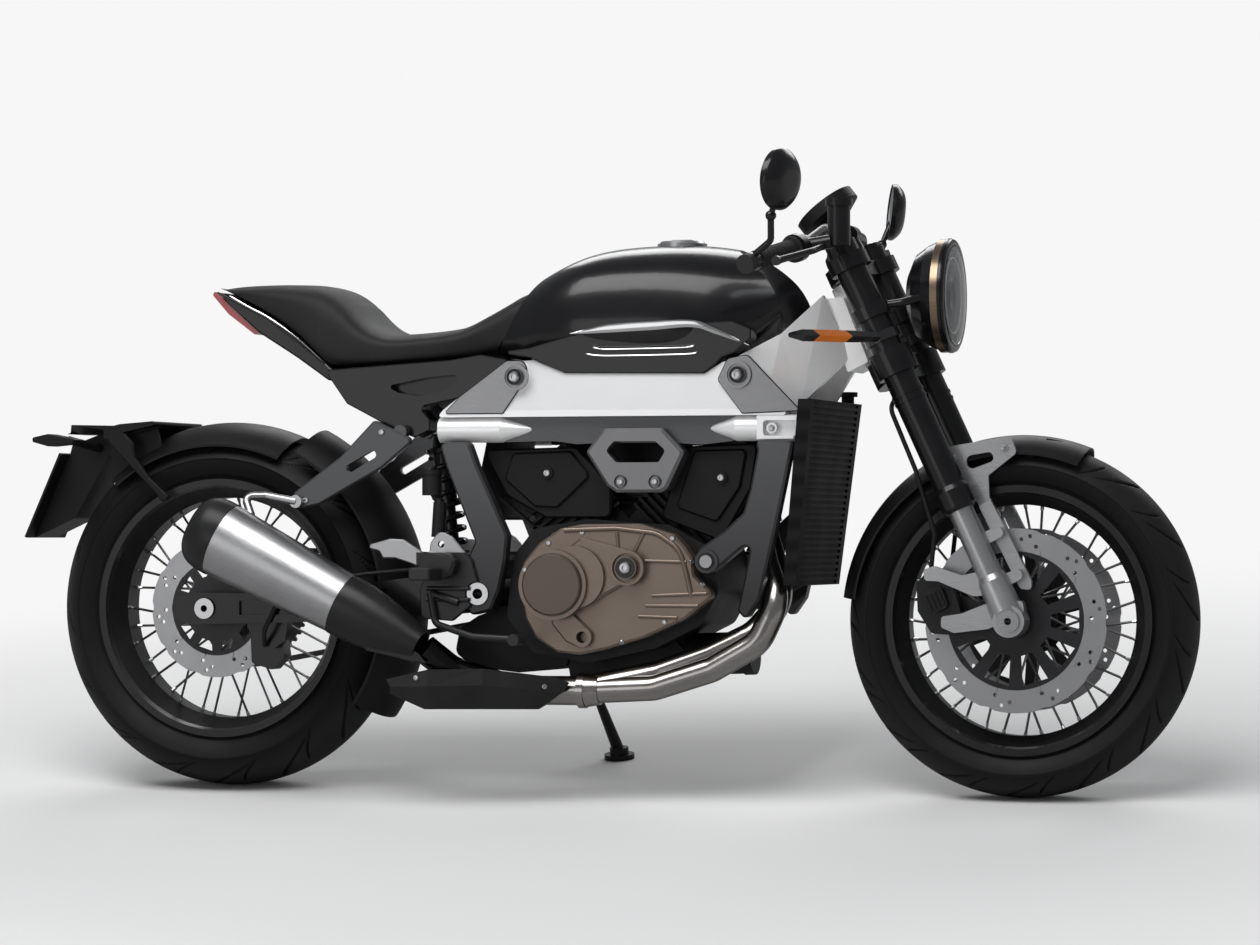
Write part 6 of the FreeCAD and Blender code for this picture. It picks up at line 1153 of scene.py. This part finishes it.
class CAFE_OT_trim(bpy.types.Operator):
    """Lays the bright wedge and the lines on the tank's sides and the line along the tail"""
    bl_idname = "cafe.trim"
    bl_label = "Trim"

    def execute(self, context):
        skin = Skin()
        for sign in (-1, 1):
            upper = smooth_path([(676, 158, 788), (714, 160.5, 796), (752, 163, 802.6), (824, 163.2, 806.4),
                                 (893, 163.2, 807.4), (932, 160, 794), (990, 152, 765)], 40)
            lower = smooth_path([(676, 158, 786.4), (714, 159.6, 787.2), (752, 162, 788.4), (824, 162, 791.6),
                                 (893, 162, 795.4), (932, 158.6, 784), (990, 151.6, 763.4)], 40)
            flip = np.array([1, sign, 1])
            skin.grid(strip_rows(upper * flip, lower * flip, 0.8, 1.2))
        for knots in ([(716, 763.5), (730, 760.5), (760, 759.8), (876, 761.4), (896, 765.5)],
                      [(704, 752.6), (722, 749.6), (760, 748.6), (882, 750), (900, 754)]):
            line = smooth_path(np.array(knots), 48)
            for sign in (-1, 1):
                spots = np.array([landing("fuel_tank", x, z, sign, 0.8)[0] for x, z in line])
                share = np.linspace(0, 1, len(spots))
                radius = 1.7 * np.clip(np.sin(np.pi * share) * 5, 0.35, 1)
                skin.grid(tube_rows(spots, radius, 8))
        for sign in (-1, 1):
            knots = smooth_path([(20, 866), (56, 846), (94, 826.5), (147, 791), (190, 754), (212, 733)], 60)
            spots = np.array([[x, sign * 76.6, z] for x, z in knots])
            radius = 1.9 * np.clip(np.sin(np.pi * np.linspace(0, 1, 60)) * 6, 0.3, 1)
            skin.grid(tube_rows(spots, radius, 8))
        skin.piece("tank_trim", finish("polished_trim"), "chassis", "bright_alloy")
        return {"FINISHED"}


class CAFE_OT_plate(bpy.types.Operator):
    """Lays the blank, slightly pillowed face on the plate's rearward side"""
    bl_idname = "cafe.plate"
    bl_label = "Blank plate"

    def execute(self, context):
        top, low = np.array([-305.6, 0, 580.9]), np.array([-365.9, 0, 446.3])
        down = low - top
        out = unit(np.cross(down, [0, 1.0, 0]))
        if out[0] > 0:
            out = -out
        rows = []
        for depth, shrink in ((-0.9, 0.985), (0.2, 1.0), (0.8, 0.985), (1.1, 0.9), (1.3, 0.6), (1.35, 0.05)):
            angle = 2 * np.pi * (np.arange(56) + 0.5) / 56
            c, s = np.cos(angle), np.sin(angle)
            wide = 77.5 * np.sign(c) * np.abs(c) ** 0.16 * shrink
            tall = 0.5 * np.sign(s) * np.abs(s) ** 0.16 * shrink
            rows.append(top + down * (0.5 + tall)[:, None] + wide[:, None] * [[0, 1.0, 0]] + out * depth)
        Skin().grid(np.array(rows)).piece("plate_face", finish("plate_white"), "chassis", "plate_blank")
        return {"FINISHED"}


class CAFE_OT_chain(bpy.types.Operator):
    """Makes the chain's side plates and rollers round the two sprockets"""
    bl_idname = "cafe.chain"
    bl_label = "Chain"

    def execute(self, context):
        near, far = np.array([0.0, 315.0]), np.array([590.0, 360.0])
        big, small = (CHAIN_PITCH / 2 / math.sin(math.pi / teeth) for teeth in (REAR_TEETH, FRONT_TEETH))
        run = far - near
        reach = np.linalg.norm(run)
        slope = math.atan2(run[1], run[0])
        spread = math.acos((big - small) / reach)
        straight = math.sqrt(reach ** 2 - (big - small) ** 2)
        wrap_small, wrap_big = small * 2 * spread, big * (2 * np.pi - 2 * spread)
        total = 2 * straight + wrap_small + wrap_big
        links = int(round(total / CHAIN_PITCH / 2)) * 2
        s = np.arange(links) * total / links
        upper = np.stack([np.cos(slope + spread), np.sin(slope + spread)])
        lower = np.stack([np.cos(slope - spread), np.sin(slope - spread)])
        a, b, c = straight, straight + wrap_small, 2 * straight + wrap_small

        def along(s):
            s = s % total
            start, stop = near + big * upper, far + small * upper
            first = start + (stop - start) * (s / a)[:, None]
            turn_one = slope + spread - (s - a) / small
            second = far + small * np.stack([np.cos(turn_one), np.sin(turn_one)], -1)
            start, stop = far + small * lower, near + big * lower
            third = start + (stop - start) * ((s - b) / straight)[:, None]
            turn_two = slope - spread - (s - c) / big
            fourth = near + big * np.stack([np.cos(turn_two), np.sin(turn_two)], -1)
            pick = np.select([s < a, s < b, s < c], [0, 1, 2], 3)[:, None]
            return np.where(pick == 0, first, np.where(pick == 1, second, np.where(pick == 2, third, fourth)))

        pins, nexts = along(s), along(s + total / links)
        middle = (pins + nexts) / 2
        way = unit(nexts - pins)
        angle = 2 * np.pi * np.arange(20) / 20
        outline = np.stack([np.cos(angle) * 13.4, np.sin(angle) * (4.6 + 1.6 * np.abs(np.cos(angle)))], -1)
        skin = Skin()
        turn = np.stack([np.stack([way[:, 0], np.zeros(links), way[:, 1]], -1),
                         np.tile([0, 1.0, 0], (links, 1)),
                         np.stack([-way[:, 1], np.zeros(links), way[:, 0]], -1)], -1)
        outer = np.arange(links) % 2 == 0
        for sign in (-1, 1):
            for pick, inset in ((outer, 7.2), (~outer, 5.4)):
                y = CHAIN_Y + sign * inset
                rows = np.stack([np.stack([outline[:, 0] * k, np.full(20, h), outline[:, 1] * k], -1)
                                 for k, h in ((0.94, -0.7), (1, -0.45), (1, 0.45), (0.94, 0.7))])
                form = Skin().grid(rows)
                places = np.stack([middle[pick][:, 0], np.full(pick.sum(), y), middle[pick][:, 1]], -1)
                skin.copies(np.vstack(form.spots), form.faces, places, turn[pick], 1.0)
        roller = Skin().grid(lathe_rows([(-4.4, 4.0), (-4.4, 5.0), (4.4, 5.0), (4.4, 4.0)], (0, 0, 0),
                                        (0, 1, 0), 10))
        pin = Skin().grid(lathe_rows([(-8.6, 1.6), (-8.3, 2.2), (8.3, 2.2), (8.6, 1.6)], (0, 0, 0),
                                     (0, 1, 0), 8))
        spots = np.stack([pins[:, 0], np.full(links, CHAIN_Y), pins[:, 1]], -1)
        for form in (roller, pin):
            skin.copies(np.vstack(form.spots), form.faces, spots, turn, 1.0)
        thing = skin.piece("chain_links", finish("chain_metal"), "chassis", "chain_steel", 30)
        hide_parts("drive_chain")
        return {"FINISHED"}


class CAFE_PT_panel(bpy.types.Panel):
    """Lists the steps and the values that they read"""
    bl_idname = "CAFE_PT_panel"
    bl_label = "Cafe racer"
    bl_space_type = "VIEW_3D"
    bl_region_type = "UI"
    bl_category = "Cafe racer"

    def draw(self, context):
        for kind in OPERATORS:
            self.layout.operator(kind.bl_idname)
        for values in (context.scene.cafe_look, context.scene.cafe_colours, context.scene.cafe_studio):
            for name in values.__annotations__:
                self.layout.prop(values, name)


OPERATORS = (CAFE_OT_stage, CAFE_OT_finishes, CAFE_OT_tyres, CAFE_OT_seat, CAFE_OT_screws, CAFE_OT_nipples,
             CAFE_OT_spring, CAFE_OT_headlight, CAFE_OT_instrument, CAFE_OT_mirrors, CAFE_OT_trim,
             CAFE_OT_plate, CAFE_OT_chain)
CLASSES = (CafeLook, CafeColours, CafeStudio, *OPERATORS, CAFE_PT_panel)


def register():
    for kind in CLASSES:
        bpy.utils.register_class(kind)
    bpy.types.Scene.cafe_look = PointerProperty(type=CafeLook)
    bpy.types.Scene.cafe_colours = PointerProperty(type=CafeColours)
    bpy.types.Scene.cafe_studio = PointerProperty(type=CafeStudio)


def unregister():
    del bpy.types.Scene.cafe_look, bpy.types.Scene.cafe_colours, bpy.types.Scene.cafe_studio
    for kind in reversed(CLASSES):
        bpy.utils.unregister_class(kind)


def main():
    register()
    for kind in OPERATORS:
        group, step = kind.bl_idname.split(".")
        if getattr(getattr(bpy.ops, group), step)() != {"FINISHED"}:
            raise RuntimeError(kind.bl_idname + " did not finish")
    bpy.context.view_layer.update()


if __name__ == "__main__":
    main()
